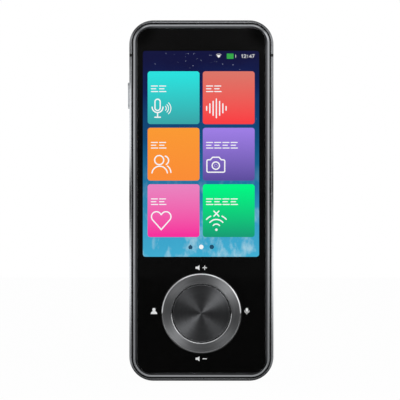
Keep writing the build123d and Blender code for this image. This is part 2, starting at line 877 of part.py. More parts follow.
# Talk switch: a side-push tactile switch, bored for its plunger.
with BuildPart() as talk_switch:
    with BuildSketch(Plane.YZ.offset(switch_face)):
        with Locations((band_middle, talk_key_middle)):
            Rectangle(switch_width, switch_length)
    extrude(amount=switch_depth)
    with BuildSketch(Plane.YZ.offset(switch_face)):
        with Locations((band_middle, talk_key_middle)):
            Circle(switch_plunger_radius + switch_plunger_gap)
    extrude(amount=switch_bore, mode=Mode.SUBTRACT)
talk_switch.part.label = "talk_switch"
export_step(talk_switch.part, "parts/talk_switch.step")

# Talk flex: the strip behind the switch, and its tail over the edge of the main board.
with BuildPart() as talk_flex:
    with BuildSketch(Plane.YZ.offset(switch_back)):
        with Locations((band_middle, talk_key_middle)):
            Rectangle(switch_width, talk_key_length)
    extrude(amount=switch_flex)
    with BuildSketch(layer(board_back + flex_thickness)):
        rectangle_between(
            switch_back + switch_flex,
            board_left + board_notch_depth + talk_flex_landing,
            talk_key_middle - talk_flex_tail / 2,
            talk_key_middle + talk_flex_tail / 2,
        )
    extrude(amount=flex_thickness)
talk_flex.part.label = "talk_flex"
export_step(talk_flex.part, "parts/talk_flex.step")

# Main board, notched beside the talk key's switch.
board_middle = (board_bottom + board_top) / 2
with BuildPart() as main_board:
    with BuildSketch(layer(board_back)):
        with Locations((0, board_middle)):
            RectangleRounded(board_width, board_top - board_bottom, board_corner)
        with Locations((board_left + board_notch_depth / 2, talk_key_middle)):
            Rectangle(board_notch_depth, board_notch_length, mode=Mode.SUBTRACT)
        with Locations(*board_screw_places):
            small_round(screw_radius + screw_hole_gap, mode=Mode.SUBTRACT)
    extrude(amount=board_thickness)
main_board.part.label = "main_board"
export_step(main_board.part, "parts/main_board.step")

# Shield cans: two drawn steel covers, open towards the board, and the chips that they cover.
large_can_place = (
    board_left + large_can_inset[0] + large_can[0] / 2,
    board_top - large_can_inset[1] - large_can[1] / 2,
)
small_can_place = (
    large_can_place[0] + large_can[0] / 2 + small_can_gap[0] + small_can[0] / 2,
    board_bottom + small_can_gap[1] + small_can[1] / 2,
)
cans = ((large_can, large_can_place), (small_can, small_can_place))
with BuildPart() as shield_cans:
    for (can_width, can_length), can_place in cans:
        with BuildSketch(layer(board_back + can_height)):
            with Locations(can_place):
                Rectangle(can_width, can_length)
        extrude(amount=can_height)
        with BuildSketch(layer(board_back + can_height - can_sheet)):
            with Locations(can_place):
                Rectangle(can_width - 2 * can_sheet, can_length - 2 * can_sheet)
        extrude(amount=can_height - can_sheet, mode=Mode.SUBTRACT)
shield_cans.part.label = "shield_cans"
export_step(shield_cans.part, "parts/shield_cans.step")

with BuildPart() as board_chips:
    for (can_width, can_length), can_place in cans:
        with BuildSketch(layer(board_back + chip_height)):
            with Locations(can_place):
                Rectangle(can_width - 2 * chip_margin, can_length - 2 * chip_margin)
        extrude(amount=chip_height)
board_chips.part.label = "board_chips"
export_step(board_chips.part, "parts/board_chips.step")

# Display connector: the low socket on the front of the main board that the flex plugs into.
with BuildPart() as display_connector:
    with BuildSketch(layer(board_front)):
        with Locations((0, display_connector_top - connector_length / 2)):
            Rectangle(display_flex_width, connector_length)
    extrude(amount=connector_height)
display_connector.part.label = "display_connector"
export_step(display_connector.part, "parts/display_connector.step")

# Battery: a lithium pouch cell stuck into the bay, with a flat lead onto the main board.
battery_front = plate_back + battery_tape
with BuildPart() as battery_tape_sheet:
    with BuildSketch(layer(battery_front)):
        with Locations((0, battery_middle)):
            Rectangle(battery_width - 2 * battery_corner, battery_length - 2 * battery_corner)
    extrude(amount=battery_tape)
battery_tape_sheet.part.label = "battery_tape"
export_step(battery_tape_sheet.part, "parts/battery_tape.step")

with BuildPart() as battery:
    with BuildSketch(layer(battery_front + battery_thickness)):
        with Locations((0, battery_middle)):
            Rectangle(battery_width, battery_length)
    extrude(amount=battery_thickness)
    fillet(battery.edges().filter_by(Axis.Z), battery_corner)
battery.part.label = "battery"
export_step(battery.part, "parts/battery.step")

with BuildPart() as battery_lead:
    with BuildSketch(layer(board_back + flex_thickness)):
        rectangle_between(-lead_width / 2, lead_width / 2, battery_top, board_bottom + connector_length)
    extrude(amount=flex_thickness)
battery_lead.part.label = "battery_lead"
export_step(battery_lead.part, "parts/battery_lead.step")

# USB-C socket: a drawn steel shell round a moulded tongue, on its own small board.
with BuildPart() as usb_shell:
    with BuildSketch(Plane.XY.offset(port_set_back)):
        with Locations((0, port_middle)):
            SlotOverall(port_width, port_height)
    extrude(amount=port_length)
    with BuildSketch(Plane.XY.offset(port_set_back)):
        with Locations((0, port_middle)):
            SlotOverall(port_width - 2 * port_sheet, port_height - 2 * port_sheet)
    extrude(amount=port_length - port_sheet, mode=Mode.SUBTRACT)
usb_shell.part.label = "usb_shell"
export_step(usb_shell.part, "parts/usb_shell.step")

port_block_face = port_set_back + port_length - port_sheet - port_block
with BuildPart() as usb_tongue:
    with BuildSketch(Plane.XY.offset(port_block_face)):
        with Locations((0, port_middle)):
            SlotOverall(port_width - 2 * port_sheet, port_height - 2 * port_sheet)
    extrude(amount=port_block)
    with BuildSketch(Plane.XY.offset(port_set_back + tongue_set_back)):
        with Locations((0, port_middle)):
            Rectangle(tongue_width, tongue_thickness)
    extrude(amount=port_block_face - port_set_back - tongue_set_back)
usb_tongue.part.label = "usb_tongue"
export_step(usb_tongue.part, "parts/usb_tongue.step")

with BuildPart() as usb_board:
    with BuildSketch(layer(usb_board_front + usb_board_thickness)):
        with Locations((0, usb_board_low + usb_board_length / 2)):
            Rectangle(usb_board_width, usb_board_length)
        with Locations(*usb_screw_places):
            small_round(screw_radius + screw_hole_gap, mode=Mode.SUBTRACT)
    extrude(amount=usb_board_thickness)
usb_board.part.label = "usb_board"
export_step(usb_board.part, "parts/usb_board.step")

# Microphones, one on each board, and the rubber gaskets that lead the sound in to them.
low_mic_bottom = inner_inset + mic_set_in
top_mic_top = body_height - inner_inset - mic_set_in
low_mic_place = (low_mic_side, low_mic_bottom + mic_length / 2)
top_mic_place = (top_mic_side, top_mic_top - mic_length / 2)
with BuildPart() as microphones:
    with BuildSketch(layer(usb_board_front)):
        with Locations(low_mic_place):
            Rectangle(mic_width, mic_length)
    extrude(amount=mic_height)
    with BuildSketch(layer(board_back + mic_height)):
        with Locations(top_mic_place):
            Rectangle(mic_width, mic_length)
    extrude(amount=mic_height)
microphones.part.label = "microphones"
export_step(microphones.part, "parts/microphones.step")

with BuildPart() as mic_gaskets:
    for gasket_base, side, depth in (
        (inner_inset, low_mic_side, low_mic_depth),
        (top_mic_top, top_mic_side, top_mic_depth),
    ):
        with BuildSketch(Plane.XY.offset(gasket_base)):
            with Locations((side, depth)):
                Rectangle(mic_width, mic_height)
                small_round(mic_hole_radius - mic_gasket_lip, mode=Mode.SUBTRACT)
        extrude(amount=mic_set_in)
mic_gaskets.part.label = "mic_gaskets"
export_step(mic_gaskets.part, "parts/mic_gaskets.step")

# Board screws: four in the main board, two in the USB board and four small ones in the key board.
screw_sets = (
    (board_screw_places, board_back, board_thickness + board_screw_grip, screw_radius, screw_head),
    (
        usb_screw_places,
        usb_board_front + usb_board_thickness,
        usb_board_thickness + board_screw_grip,
        screw_radius,
        screw_head,
    ),
    (
        key_board_screw_places,
        key_board_back,
        key_board_thickness + plate_thickness - pilot_gap,
        small_screw_radius,
        small_screw_head,
    ),
)
with BuildPart() as board_screws:
    for places, seat, shank_length, radius, head in screw_sets:
        with BuildSketch(layer(seat + head)):
            with Locations(*places):
                small_round(radius * screw_head_share)
        extrude(amount=head)
        with BuildSketch(layer(seat)):
            with Locations(*places):
                small_round(radius)
        extrude(amount=shank_length)
board_screws.part.label = "board_screws"
export_step(board_screws.part, "parts/board_screws.step")

# Rear cover: a moulded shell with a softly rounded edge. A lip locates it in the band, hooks
# catch the chassis rail, ribs stiffen the battery area, and stepped seats take the grille, the
# camera window and the flash lens.
grille_recess = grille_sheet + mesh_sheet + grille_set_back
grille_opening_length = grille_length - 2 * grille_ledge
grille_opening_width = grille_width - 2 * grille_ledge
flash_place = (camera_place[0], camera_place[1] - flash_drop)
trim_radius = window_radius + trim_width
window_seat = back_face - trim_set_back - trim_thickness
flash_seat = back_face - trim_set_back - flash_head
hook_face = body_width / 2 - inner_inset - hook_gap
cover_round_points = quarter_round(cover_round)
with BuildPart() as rear_cover:
    with BuildSketch(layer(back_face - cover_round)):
        body_outline(cover_inset)
    extrude(amount=back_face - cover_round - band_back)
    for flat, (start, end) in enumerate(zip(cover_round_points, cover_round_points[1:])):
        with BuildSketch(layer(back_face - cover_round + end[1])):
            body_outline(cover_inset + end[0])
        extrude(amount=end[1] - start[1], taper=-90 * (flat + 0.5) / edge_round_flats)
    with BuildSketch(layer(band_back)):
        body_outline(band_wall + lip_gap)
    extrude(amount=lip_height)
    with BuildSketch(layer(cover_inside)):
        body_outline(band_wall + lip_gap + lip_wall)
    extrude(amount=cover_inside - band_back + lip_height, mode=Mode.SUBTRACT)
    # hooks
    for hook_height in hook_heights:
        with BuildSketch(Plane.XY.offset(hook_height - hook_width / 2)):
            with BuildLine():
                Polyline(
                    (hook_face - hook_thickness, cover_inside),
                    (hook_face, cover_inside),
                    (hook_face, hook_tip + hook_catch_length),
                    (hook_face + hook_catch, hook_tip + hook_catch_length),
                    (hook_face, hook_tip),
                    (hook_face - hook_thickness, hook_tip),
                    close=True,
                )
            make_face()
            mirror(about=Plane.YZ)
        extrude(amount=hook_width)
    # stiffening ribs behind the battery
    with BuildSketch(layer(cover_inside)):
        with Locations((0, battery_middle)):
            with GridLocations(0, rib_pitch, 1, rib_count):
                Rectangle(battery_width, rib_thickness)
            with GridLocations(rib_pitch, 0, rib_count, 1):
                Rectangle(rib_thickness, battery_length)
    extrude(amount=rib_height)
    # boss round the camera barrel
    with BuildSketch(layer(cover_inside)):
        with Locations(camera_place):
            wide_round(camera_hole_radius + camera_boss_wall)
    extrude(amount=camera_boss_height)
    # stepped seats and holes
    with BuildSketch(layer(back_face)):
        with Locations(camera_place):
            Circle(trim_radius + window_gap)
    extrude(amount=back_face - window_seat, mode=Mode.SUBTRACT)
    with BuildSketch(layer(back_face)):
        with Locations(flash_place):
            wide_round(flash_radius + flash_head_margin + flash_gap)
    extrude(amount=back_face - flash_seat, mode=Mode.SUBTRACT)
    with BuildSketch(layer(back_face)):
        with Locations((0, grille_middle)):
            SlotOverall(grille_length + 2 * grille_gap, grille_width + 2 * grille_gap)
    extrude(amount=grille_recess, mode=Mode.SUBTRACT)
    with BuildSketch(layer(back_face)):
        with Locations(camera_place):
            wide_round(camera_hole_radius)
        with Locations(flash_place):
            wide_round(flash_radius + flash_gap)
        with Locations((0, grille_middle)):
            SlotOverall(grille_opening_length, grille_opening_width)
    extrude(amount=cover_wall + camera_boss_height, mode=Mode.SUBTRACT)
rear_cover.part.label = "rear_cover"
export_step(rear_cover.part, "parts/rear_cover.step")

# Speaker grille: a stainless plate pierced with square holes, with a dust mesh behind it.
with BuildPart() as speaker_grille:
    with BuildSketch(layer(back_face - grille_set_back)):
        with Locations((0, grille_middle)):
            SlotOverall(grille_length, grille_width)
            with GridLocations(grille_hole_pitch, 2 * grille_row_pitch, grille_holes - 1, 2):
                RegularPolygon(grille_hole_radius, 4, mode=Mode.SUBTRACT)
            with GridLocations(grille_hole_pitch, 0, grille_holes, 1):
                RegularPolygon(grille_hole_radius, 4, mode=Mode.SUBTRACT)
    extrude(amount=grille_sheet)
speaker_grille.part.label = "speaker_grille"
export_step(speaker_grille.part, "parts/speaker_grille.step")

with BuildPart() as speaker_mesh:
    with BuildSketch(layer(back_face - grille_set_back - grille_sheet)):
        with Locations((0, grille_middle)):
            SlotOverall(grille_length, grille_width)
    extrude(amount=mesh_sheet)
speaker_mesh.part.label = "speaker_mesh"
export_step(speaker_mesh.part, "parts/speaker_mesh.step")

# Speaker gasket and the closed box of the loudspeaker in front of it, which sounds through it.
speaker_back = cover_inside - gasket_thickness
with BuildPart() as speaker_gasket:
    with BuildSketch(layer(cover_inside)):
        with Locations((0, grille_middle)):
            Rectangle(grille_opening_length + 2 * gasket_width, grille_opening_width + 2 * gasket_width)
            Rectangle(grille_opening_length, grille_opening_width, mode=Mode.SUBTRACT)
    extrude(amount=gasket_thickness)
speaker_gasket.part.label = "speaker_gasket"
export_step(speaker_gasket.part, "parts/speaker_gasket.step")

speaker_front = plate_back + speaker_front_gap
with BuildPart() as speaker_box:
    with BuildSketch(layer(speaker_back)):
        with Locations((0, speaker_bottom + speaker_length / 2)):
            Rectangle(speaker_width, speaker_length)
    extrude(amount=speaker_back - speaker_front)
    chamfer(speaker_box.edges().filter_by(Axis.Y), speaker_corner)
    with BuildSketch(layer(speaker_back)):
        with Locations((0, grille_middle)):
            Rectangle(grille_opening_length, grille_opening_width)
    extrude(amount=speaker_port_depth, mode=Mode.SUBTRACT)
speaker_box.part.label = "speaker_box"
export_step(speaker_box.part, "parts/speaker_box.step")

# Rear camera: the module on the main board, its window, and the trim ring round the window.
with BuildPart() as camera_module:
    with BuildSketch(layer(board_back + camera_base_height)):
        with Locations(camera_place):
            Rectangle(camera_base, camera_base)
    extrude(amount=camera_base_height)
    with BuildSketch(layer(window_seat - camera_barrel_gap)):
        with Locations(camera_place):
            Circle(camera_barrel_radius)
    extrude(amount=window_seat - camera_barrel_gap - board_back - camera_base_height)
camera_module.part.label = "camera_module"
export_step(camera_module.part, "parts/camera_module.step")

with BuildPart() as camera_window:
    with BuildSketch(layer(window_seat + window_thickness)):
        with Locations(camera_place):
            Circle(window_radius - window_gap)
    extrude(amount=window_thickness)
camera_window.part.label = "camera_window"
export_step(camera_window.part, "parts/camera_window.step")

with BuildPart() as camera_trim:
    with BuildSketch(layer(window_seat + trim_thickness)):
        with Locations(camera_place):
            Circle(trim_radius)
            Circle(window_radius, mode=Mode.SUBTRACT)
    extrude(amount=trim_thickness)
    chamfer(camera_trim.faces().sort_by(Axis.Y)[-1].inner_wires()[0].edges(), cap_chamfer)
camera_trim.part.label = "camera_trim"
export_step(camera_trim.part, "parts/camera_trim.step")

# Flash: the lamp on the board and the clear light pipe in the cover.
with BuildPart() as flash_lamp:
    with BuildSketch(layer(board_back + led_height)):
        with Locations(flash_place):
            Rectangle(led_size, led_size)
    extrude(amount=led_height)
flash_lamp.part.label = "flash_lamp"
export_step(flash_lamp.part, "parts/flash_lamp.step")

with BuildPart() as flash_lens:
    with BuildSketch(layer(flash_seat + flash_head)):
        with Locations(flash_place):
            wide_round(flash_radius + flash_head_margin)
    extrude(amount=flash_head)
    with BuildSketch(layer(flash_seat)):
        with Locations(flash_place):
            wide_round(flash_radius)
    extrude(amount=flash_seat - board_back - led_height - led_gap)
flash_lens.part.label = "flash_lens"
export_step(flash_lens.part, "parts/flash_lens.step")

# Antenna foil stuck to the inside of the cover.
with BuildPart() as antenna_foil:
    with BuildSketch(layer(cover_inside)):
        with Locations((foil_side, body_height - foil_drop)):
            Rectangle(foil_width, foil_length)
    extrude(amount=foil_sheet)
antenna_foil.part.label = "antenna_foil"
export_step(antenna_foil.part, "parts/antenna_foil.step")
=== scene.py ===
import math
import random

import bmesh
import bpy
from mathutils import Matrix, Vector


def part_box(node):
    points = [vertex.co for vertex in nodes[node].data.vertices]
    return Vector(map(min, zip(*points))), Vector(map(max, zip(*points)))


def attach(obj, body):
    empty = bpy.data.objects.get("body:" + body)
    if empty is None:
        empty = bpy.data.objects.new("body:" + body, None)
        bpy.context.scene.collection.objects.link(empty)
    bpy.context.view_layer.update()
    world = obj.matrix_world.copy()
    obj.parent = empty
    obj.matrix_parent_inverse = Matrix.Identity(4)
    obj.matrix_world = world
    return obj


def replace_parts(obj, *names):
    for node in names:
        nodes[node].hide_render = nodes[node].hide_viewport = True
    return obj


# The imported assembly. Its nodes come in at their real places, in metres: X to the right and Z up as
# the user looks at the display, and Y from the display to the back.
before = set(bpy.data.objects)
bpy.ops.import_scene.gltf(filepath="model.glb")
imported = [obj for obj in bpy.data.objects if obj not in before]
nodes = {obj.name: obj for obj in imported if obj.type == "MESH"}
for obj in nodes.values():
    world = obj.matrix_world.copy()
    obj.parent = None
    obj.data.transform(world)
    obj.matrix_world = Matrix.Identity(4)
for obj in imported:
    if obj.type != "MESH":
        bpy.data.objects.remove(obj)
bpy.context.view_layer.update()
MM = 0.001

# ----------------------------------------
# Chassis: the middle plate with its rails, wall round the keys and battery bay. It is injection
# moulded in black glass-filled nylon, with a fine grain from the mould. All else is fixed to it.


def srgb(code):
    """The linear colour of a six-figure sRGB code."""
    parts = [int(code[i : i + 2], 16) / 255 for i in (0, 2, 4)]
    linear = [p / 12.92 if p <= 0.04045 else ((p + 0.055) / 1.055) ** 2.4 for p in parts]
    return (*linear, 1.0)


def new_finish(name):
    """A new material with its node tree and its Principled shader."""
    finish = bpy.data.materials.new(name)
    finish.use_nodes = True
    return finish, finish.node_tree, finish.node_tree.nodes["Principled BSDF"]


def grain_noise(tree, size, detail=2.0, stretch=(1.0, 1.0, 1.0)):
    """Noise with features of about that size in mm, stretched along each axis."""
    where = tree.nodes.new("ShaderNodeTexCoord")
    pulled = tree.nodes.new("ShaderNodeMapping")
    pulled.inputs["Scale"].default_value = [1.0 / s for s in stretch]
    noise = tree.nodes.new("ShaderNodeTexNoise")
    noise.inputs["Scale"].default_value = 1.0 / (size * MM)
    noise.inputs["Detail"].default_value = detail
    tree.links.new(where.outputs["Object"], pulled.inputs["Vector"])
    tree.links.new(pulled.outputs["Vector"], noise.inputs["Vector"])
    return noise.outputs["Fac"]


def ranged(tree, value, low, high):
    """The middle half of a noise value spread from low to high."""
    spread = tree.nodes.new("ShaderNodeMapRange")
    spread.inputs["From Min"].default_value = 0.25
    spread.inputs["From Max"].default_value = 0.75
    spread.inputs["To Min"].default_value = low
    spread.inputs["To Max"].default_value = high
    tree.links.new(value, spread.inputs["Value"])
    return spread.outputs["Result"]


def mixed(tree, share, first, second):
    """From first to second, each a colour or a socket, as share goes from 0 to 1."""
    mix = tree.nodes.new("ShaderNodeMix")
    mix.data_type = "RGBA"
    for value, name in ((first, "A"), (second, "B")):
        if isinstance(value, tuple):
            mix.inputs[name].default_value = value
        else:
            tree.links.new(value, mix.inputs[name])
    tree.links.new(share, mix.inputs["Factor"])
    return mix.outputs["Result"]


def two_toned(tree, share, code, spread):
    """The colour of a code made darker and lighter by that spread, as share goes from 0 to 1."""
    tones = [(*[min(1.0, c * level) for c in srgb(code)[:3]], 1.0) for level in (1 - spread, 1 + spread)]
    return mixed(tree, share, *tones)


def bumped(tree, shader, height, depth):
    """Gives a shader relief of that depth in mm."""
    bump = tree.nodes.new("ShaderNodeBump")
    bump.inputs["Distance"].default_value = depth * MM
    tree.links.new(height, bump.inputs["Height"])
    tree.links.new(bump.outputs["Normal"], shader.inputs["Normal"])


def grained(
    name, code, roughness, grain, depth, metallic=0.0, spread=0.08, stretch=(1, 1, 1), gloss_spread=0.04
):
    """A finish with a fine grain of that size and depth in mm, and slight clouds of colour and gloss."""
    finish, tree, shader = new_finish(name)
    cloud = grain_noise(tree, grain * 14, stretch=stretch)
    tree.links.new(two_toned(tree, cloud, code, spread), shader.inputs["Base Color"])
    gloss = ranged(tree, cloud, roughness - gloss_spread, roughness + gloss_spread)
    tree.links.new(gloss, shader.inputs["Roughness"])
    bumped(tree, shader, grain_noise(tree, grain, stretch=stretch), depth)
    shader.inputs["Metallic"].default_value = metallic
    return finish


def finish_nodes(finish, *names):
    """Gives nodes of the assembly their finish."""
    for name in names:
        slots = nodes[name].data.materials
        slots.clear()
        slots.append(finish)


finish_nodes(grained("moulded_nylon", "1c1c1e", 0.55, 0.35, 0.02), "chassis")

# ----------------------------------------
# Circuit boards: glass-epoxy laminate with a matt green resist. The shield cans are pressed steel,
# the chips are moulded, and the connectors are pale nylon. Screws hold the boards on the posts.
resist = grained("green_resist", "0f3a24", 0.38, 0.5, 0.006, spread=0.15)
finish_nodes(resist, "main_board", "usb_board", "key_board")
pressed_steel = grained("pressed_steel", "a9a9a6", 0.34, 0.2, 0.004, 1.0, stretch=(6, 1, 1))
finish_nodes(pressed_steel, "shield_cans", "backlight_tray", "microphones")
finish_nodes(grained("chip_moulding", "151516", 0.5, 0.12, 0.004), "board_chips")
finish_nodes(grained("connector_nylon", "cfc8b4", 0.4, 0.2, 0.004), "display_connector")
finish_nodes(grained("black_steel", "3a3a3c", 0.4, 0.15, 0.004, 1.0), "board_screws")

# ----------------------------------------
# Battery: a lithium pouch in creased aluminium laminate, taped into its bay, with a film lead. The
# ribbons and the antenna foil are of the same amber film, and the cover glass has the same tape.
finish_nodes(grained("pouch_laminate", "b4b5b8", 0.36, 1.6, 0.03, 1.0), "battery")
finish_nodes(grained("foam_tape", "101010", 0.8, 0.2, 0.02), "battery_tape", "glass_tape")
polyimide = grained("polyimide_film", "8a4f14", 0.32, 0.4, 0.004, spread=0.12)
finish_nodes(polyimide, "battery_lead", "display_flex", "talk_flex", "antenna_foil")

# ----------------------------------------
# Loudspeaker and microphones: a closed black box that sounds through the cover's grille, sealed
# with foam, and the foam boots that seal the microphones to their holes.
finish_nodes(grained("speaker_moulding", "161617", 0.48, 0.3, 0.015), "speaker_box")
sealing_foam = grained("sealing_foam", "141414", 0.9, 0.12, 0.03)
finish_nodes(sealing_foam, "speaker_gasket", "mic_gaskets", "display_cushion")

# ----------------------------------------
# Display: a liquid crystal cell on an acrylic light guide in a steel tray. What is lit shows in
# the clear glue between the cell and the cover glass, which carries the picture's thin layers.


def clouded(name, first, second, size, roughness):
    """A finish with clouds of that size in mm between two codes, with its shader."""
    finish, tree, shader = new_finish(name)
    tone = mixed(tree, grain_noise(tree, size), srgb(first), srgb(second))
    tree.links.new(tone, shader.inputs["Base Color"])
    shader.inputs["Roughness"].default_value = roughness
    return finish, shader


finish_nodes(clouded("clear_acrylic", "dfe3e6", "f2f5f6", 0.5, 0.12)[0], "light_guide")
finish_nodes(grained("dark_cell_glass", "05070a", 0.08, 0.6, 0.0004), "display_cell")

glass_low, glass_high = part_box("front_glass")
cell_low, cell_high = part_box("display_cell")
glass_back = glass_high.y / MM
bond_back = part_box("optical_bond")[1].y / MM
layer_step = (bond_back - glass_back) / 6

# The picture area, in mm, inside the cell's black border.
left_border = 0.7
right_border = 1.0
picture_left = cell_low.x / MM + left_border
picture_right = cell_high.x / MM - right_border
picture_low = 44.75
picture_high = 118.95
picture_corner = 1.0


def arc_points(centre, radius, start, end, count=16):
    """Points along an arc in the plane of the front, from start to end in degrees."""
    points = []
    for step in range(count + 1):
        angle = math.radians(start + (end - start) * step / count)
        points.append((centre[0] + radius * math.cos(angle), centre[1] + radius * math.sin(angle)))
    return points


def disc_outline(centre, radius, count=24):
    """The outline of a disc, without its last point, which is the first again."""
    return arc_points(centre, radius, 0, 360, count)[:-1]


def rounded_outline(left, right, low, high, radius, count=6):
    """The outline of a rectangle with round corners."""
    outline = []
    corners = (
        ((left + radius, low + radius), 180),
        ((right - radius, low + radius), 270),
        ((right - radius, high - radius), 0),
        ((left + radius, high - radius), 90),
    )
    for centre, start in corners:
        outline += arc_points(centre, radius, start, start + 90, count)
    return outline


def drawn_line(points, width, closed=False):
    """A drawn line of that width as outlines to fill: a strip along each run, and round ends."""
    half = width / 2
    following = points[1:] + points[:1] if closed else points[1:]
    headings = [math.atan2(b[1] - a[1], b[0] - a[0]) for a, b in zip(points, following)]
    edges = []
    for i, (x, z) in enumerate(points):
        before = headings[i - 1] if i or closed else headings[0]
        after = headings[min(i, len(headings) - 1)]
        bend = math.remainder(after - before, 2 * math.pi) / 2
        reach = half / max(math.cos(bend), 0.5)
        across = before + bend + math.pi / 2
        side = (reach * math.cos(across), reach * math.sin(across))
        edges.append(((x + side[0], z + side[1]), (x - side[0], z - side[1])))
    following = edges[1:] + edges[:1] if closed else edges[1:]
    strips = [[a[0], a[1], b[1], b[0]] for a, b in zip(edges, following)]
    if closed:
        return strips
    first = math.degrees(headings[0])
    last = math.degrees(headings[-1])
    strips.append(arc_points(points[0], half, first + 90, first + 270, 6))
    strips.append(arc_points(points[-1], half, last - 90, last + 90, 6))
    return strips


def fixed_piece(name, mesh, finish):
    """A new piece of that mesh and finish, fixed to the body."""
    mesh.materials.append(finish)
    piece = bpy.data.objects.new(name, mesh)
    bpy.context.scene.collection.objects.link(piece)
    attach(piece, "body")
    return piece


def shaped_piece(name, shape, finish):
    """A new piece made from a finished shape, fixed to the body."""
    mesh = bpy.data.meshes.new(name)
    shape.to_mesh(mesh)
    shape.free()
    return fixed_piece(name, mesh, finish)


def placed_loop(shape, outline, depth):
    """A closed loop of corners at that depth, from its (x, z) outline in mm."""
    return [shape.verts.new((x * MM, depth * MM, z * MM)) for x, z in outline]


def thin_layer(name, outlines, depth, finish):
    """A printed or lit layer across the front: closed outlines of (x, z) in mm at that depth."""
    shape = bmesh.new()
    for outline in outlines:
        shape.faces.new(placed_loop(shape, outline, depth))
    bmesh.ops.triangulate(shape, faces=shape.faces[:])
    return shaped_piece(name, shape, finish)


def lit_finish(name):
    """A finish that only gives light, with its tree and shader."""
    finish, tree, shader = new_finish(name)
    shader.inputs["Base Color"].default_value = (0, 0, 0, 1)
    shader.inputs["Roughness"].default_value = 0.6
    shader.inputs["Specular IOR Level"].default_value = 0.0
    shader.inputs["Emission Strength"].default_value = 1.0
    return finish, tree, shader


def lit_clouds(name, first, second, size=1.0):
    """A finish that gives light, with clouds of that size in mm between two codes."""
    finish, tree, shader = lit_finish(name)
    tone = mixed(tree, grain_noise(tree, size), srgb(first), srgb(second))
    tree.links.new(tone, shader.inputs["Emission Color"])
    return finish


def ramped(tree, value, stops, smooth=False):
    """Colours along a value, from stops of (place, sRGB code) or (place, grey level)."""
    ramp = tree.nodes.new("ShaderNodeValToRGB")
    ramp.color_ramp.interpolation = "EASE" if smooth else "LINEAR"
    elements = ramp.color_ramp.elements
    while len(elements) < len(stops):
        elements.new(0.5)
    for element, (place, tone) in zip(elements, stops):
        element.position = place
        element.color = srgb(tone) if isinstance(tone, str) else (tone, tone, tone, 1)
    tree.links.new(value, ramp.inputs["Fac"])
    return ramp.outputs["Color"]


def split(tree, kind, output):
    """The X, Y and Z of an output of a new node of that kind."""
    source = tree.nodes.new(kind)
    apart = tree.nodes.new("ShaderNodeSeparateXYZ")
    tree.links.new(source.outputs[output], apart.inputs["Vector"])
    return apart.outputs


def calculated(tree, operation, first, second=0.0):
    """One sum of two values, each a socket or a number."""
    sum_node = tree.nodes.new("ShaderNodeMath")
    sum_node.operation = operation
    for value, socket in zip((first, second), sum_node.inputs):
        if isinstance(value, (int, float)):
            socket.default_value = value
        else:
            tree.links.new(value, socket)
    return sum_node.outputs["Value"]


# Background of the picture: a night sky that pales to a bright horizon, with wisps of cloud. The
# wisps fade out by the height where the sky darkens.
sky, sky_tree, sky_shader = lit_finish("lit_sky")
sky_codes = (
    (0.0, "43b2d6"), (0.16, "3a9fc8"), (0.34, "2278a6"), (0.58, "12507f"), (0.8, "10235a"), (0.95, "11143f")
)
sky_height = split(sky_tree, "ShaderNodeTexCoord", "Generated")["Z"]
drift_reach = 0.16
sky_drift = calculated(sky_tree, "MULTIPLY", grain_noise(sky_tree, 14.0, 4.0), drift_reach)
sky_drift = calculated(sky_tree, "SUBTRACT", sky_drift, drift_reach / 2)
sky_tone = ramped(sky_tree, calculated(sky_tree, "ADD", sky_height, sky_drift), sky_codes)
wisp = grain_noise(sky_tree, 3.2, 6.0, (1.0, 1.0, 1.7))
wisp_share = calculated(sky_tree, "MAXIMUM", ranged(sky_tree, wisp, -0.7, 0.75), 0.0)
wisp_end = 0.45
wisp_gain = 2.2
wisp_fade = calculated(sky_tree, "SUBTRACT", wisp_end, sky_height)
wisp_fade = calculated(sky_tree, "MULTIPLY", wisp_fade, wisp_gain)
wisp_fade = calculated(sky_tree, "MAXIMUM", wisp_fade, 0.0)
wisp_share = calculated(sky_tree, "MULTIPLY", wisp_share, wisp_fade)
sky_tone = mixed(sky_tree, wisp_share, sky_tone, srgb("c9e6ef"))
sky_tree.links.new(sky_tone, sky_shader.inputs["Emission Color"])
sky_depth = bond_back - layer_step
picture_outline = rounded_outline(picture_left, picture_right, picture_low, picture_high, picture_corner)
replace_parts(thin_layer("picture_sky", [picture_outline], sky_depth, sky), "optical_bond")

# Stars in the upper sky, each a small disc, spread by a fixed seed. They are closest together at the
# top, a little right of the middle, and none lies behind the status line.
star_draw = random.Random(7)
star_count = 72
star_middle = 3.5
star_spread = 8.0
star_fall = 26
star_margin = 0.8
status_left = 4.5
status_foot = 115.6
stars = []
for star in range(star_count):
    star_x = min(max(star_draw.gauss(star_middle, star_spread), picture_left + 1), picture_right - 1)
    star_z = picture_high - star_margin - star_fall * star_draw.random() ** 2
    star_radius = star_draw.uniform(0.05, 0.125)
    if star_x < status_left or star_z < status_foot:
        stars.append(disc_outline((star_x, star_z), star_radius, 8))
star_light = lit_clouds("lit_stars", "7f8fc4", "dfe6ff", 2.0)
thin_layer("picture_stars", stars, sky_depth - layer_step / 4, star_light)

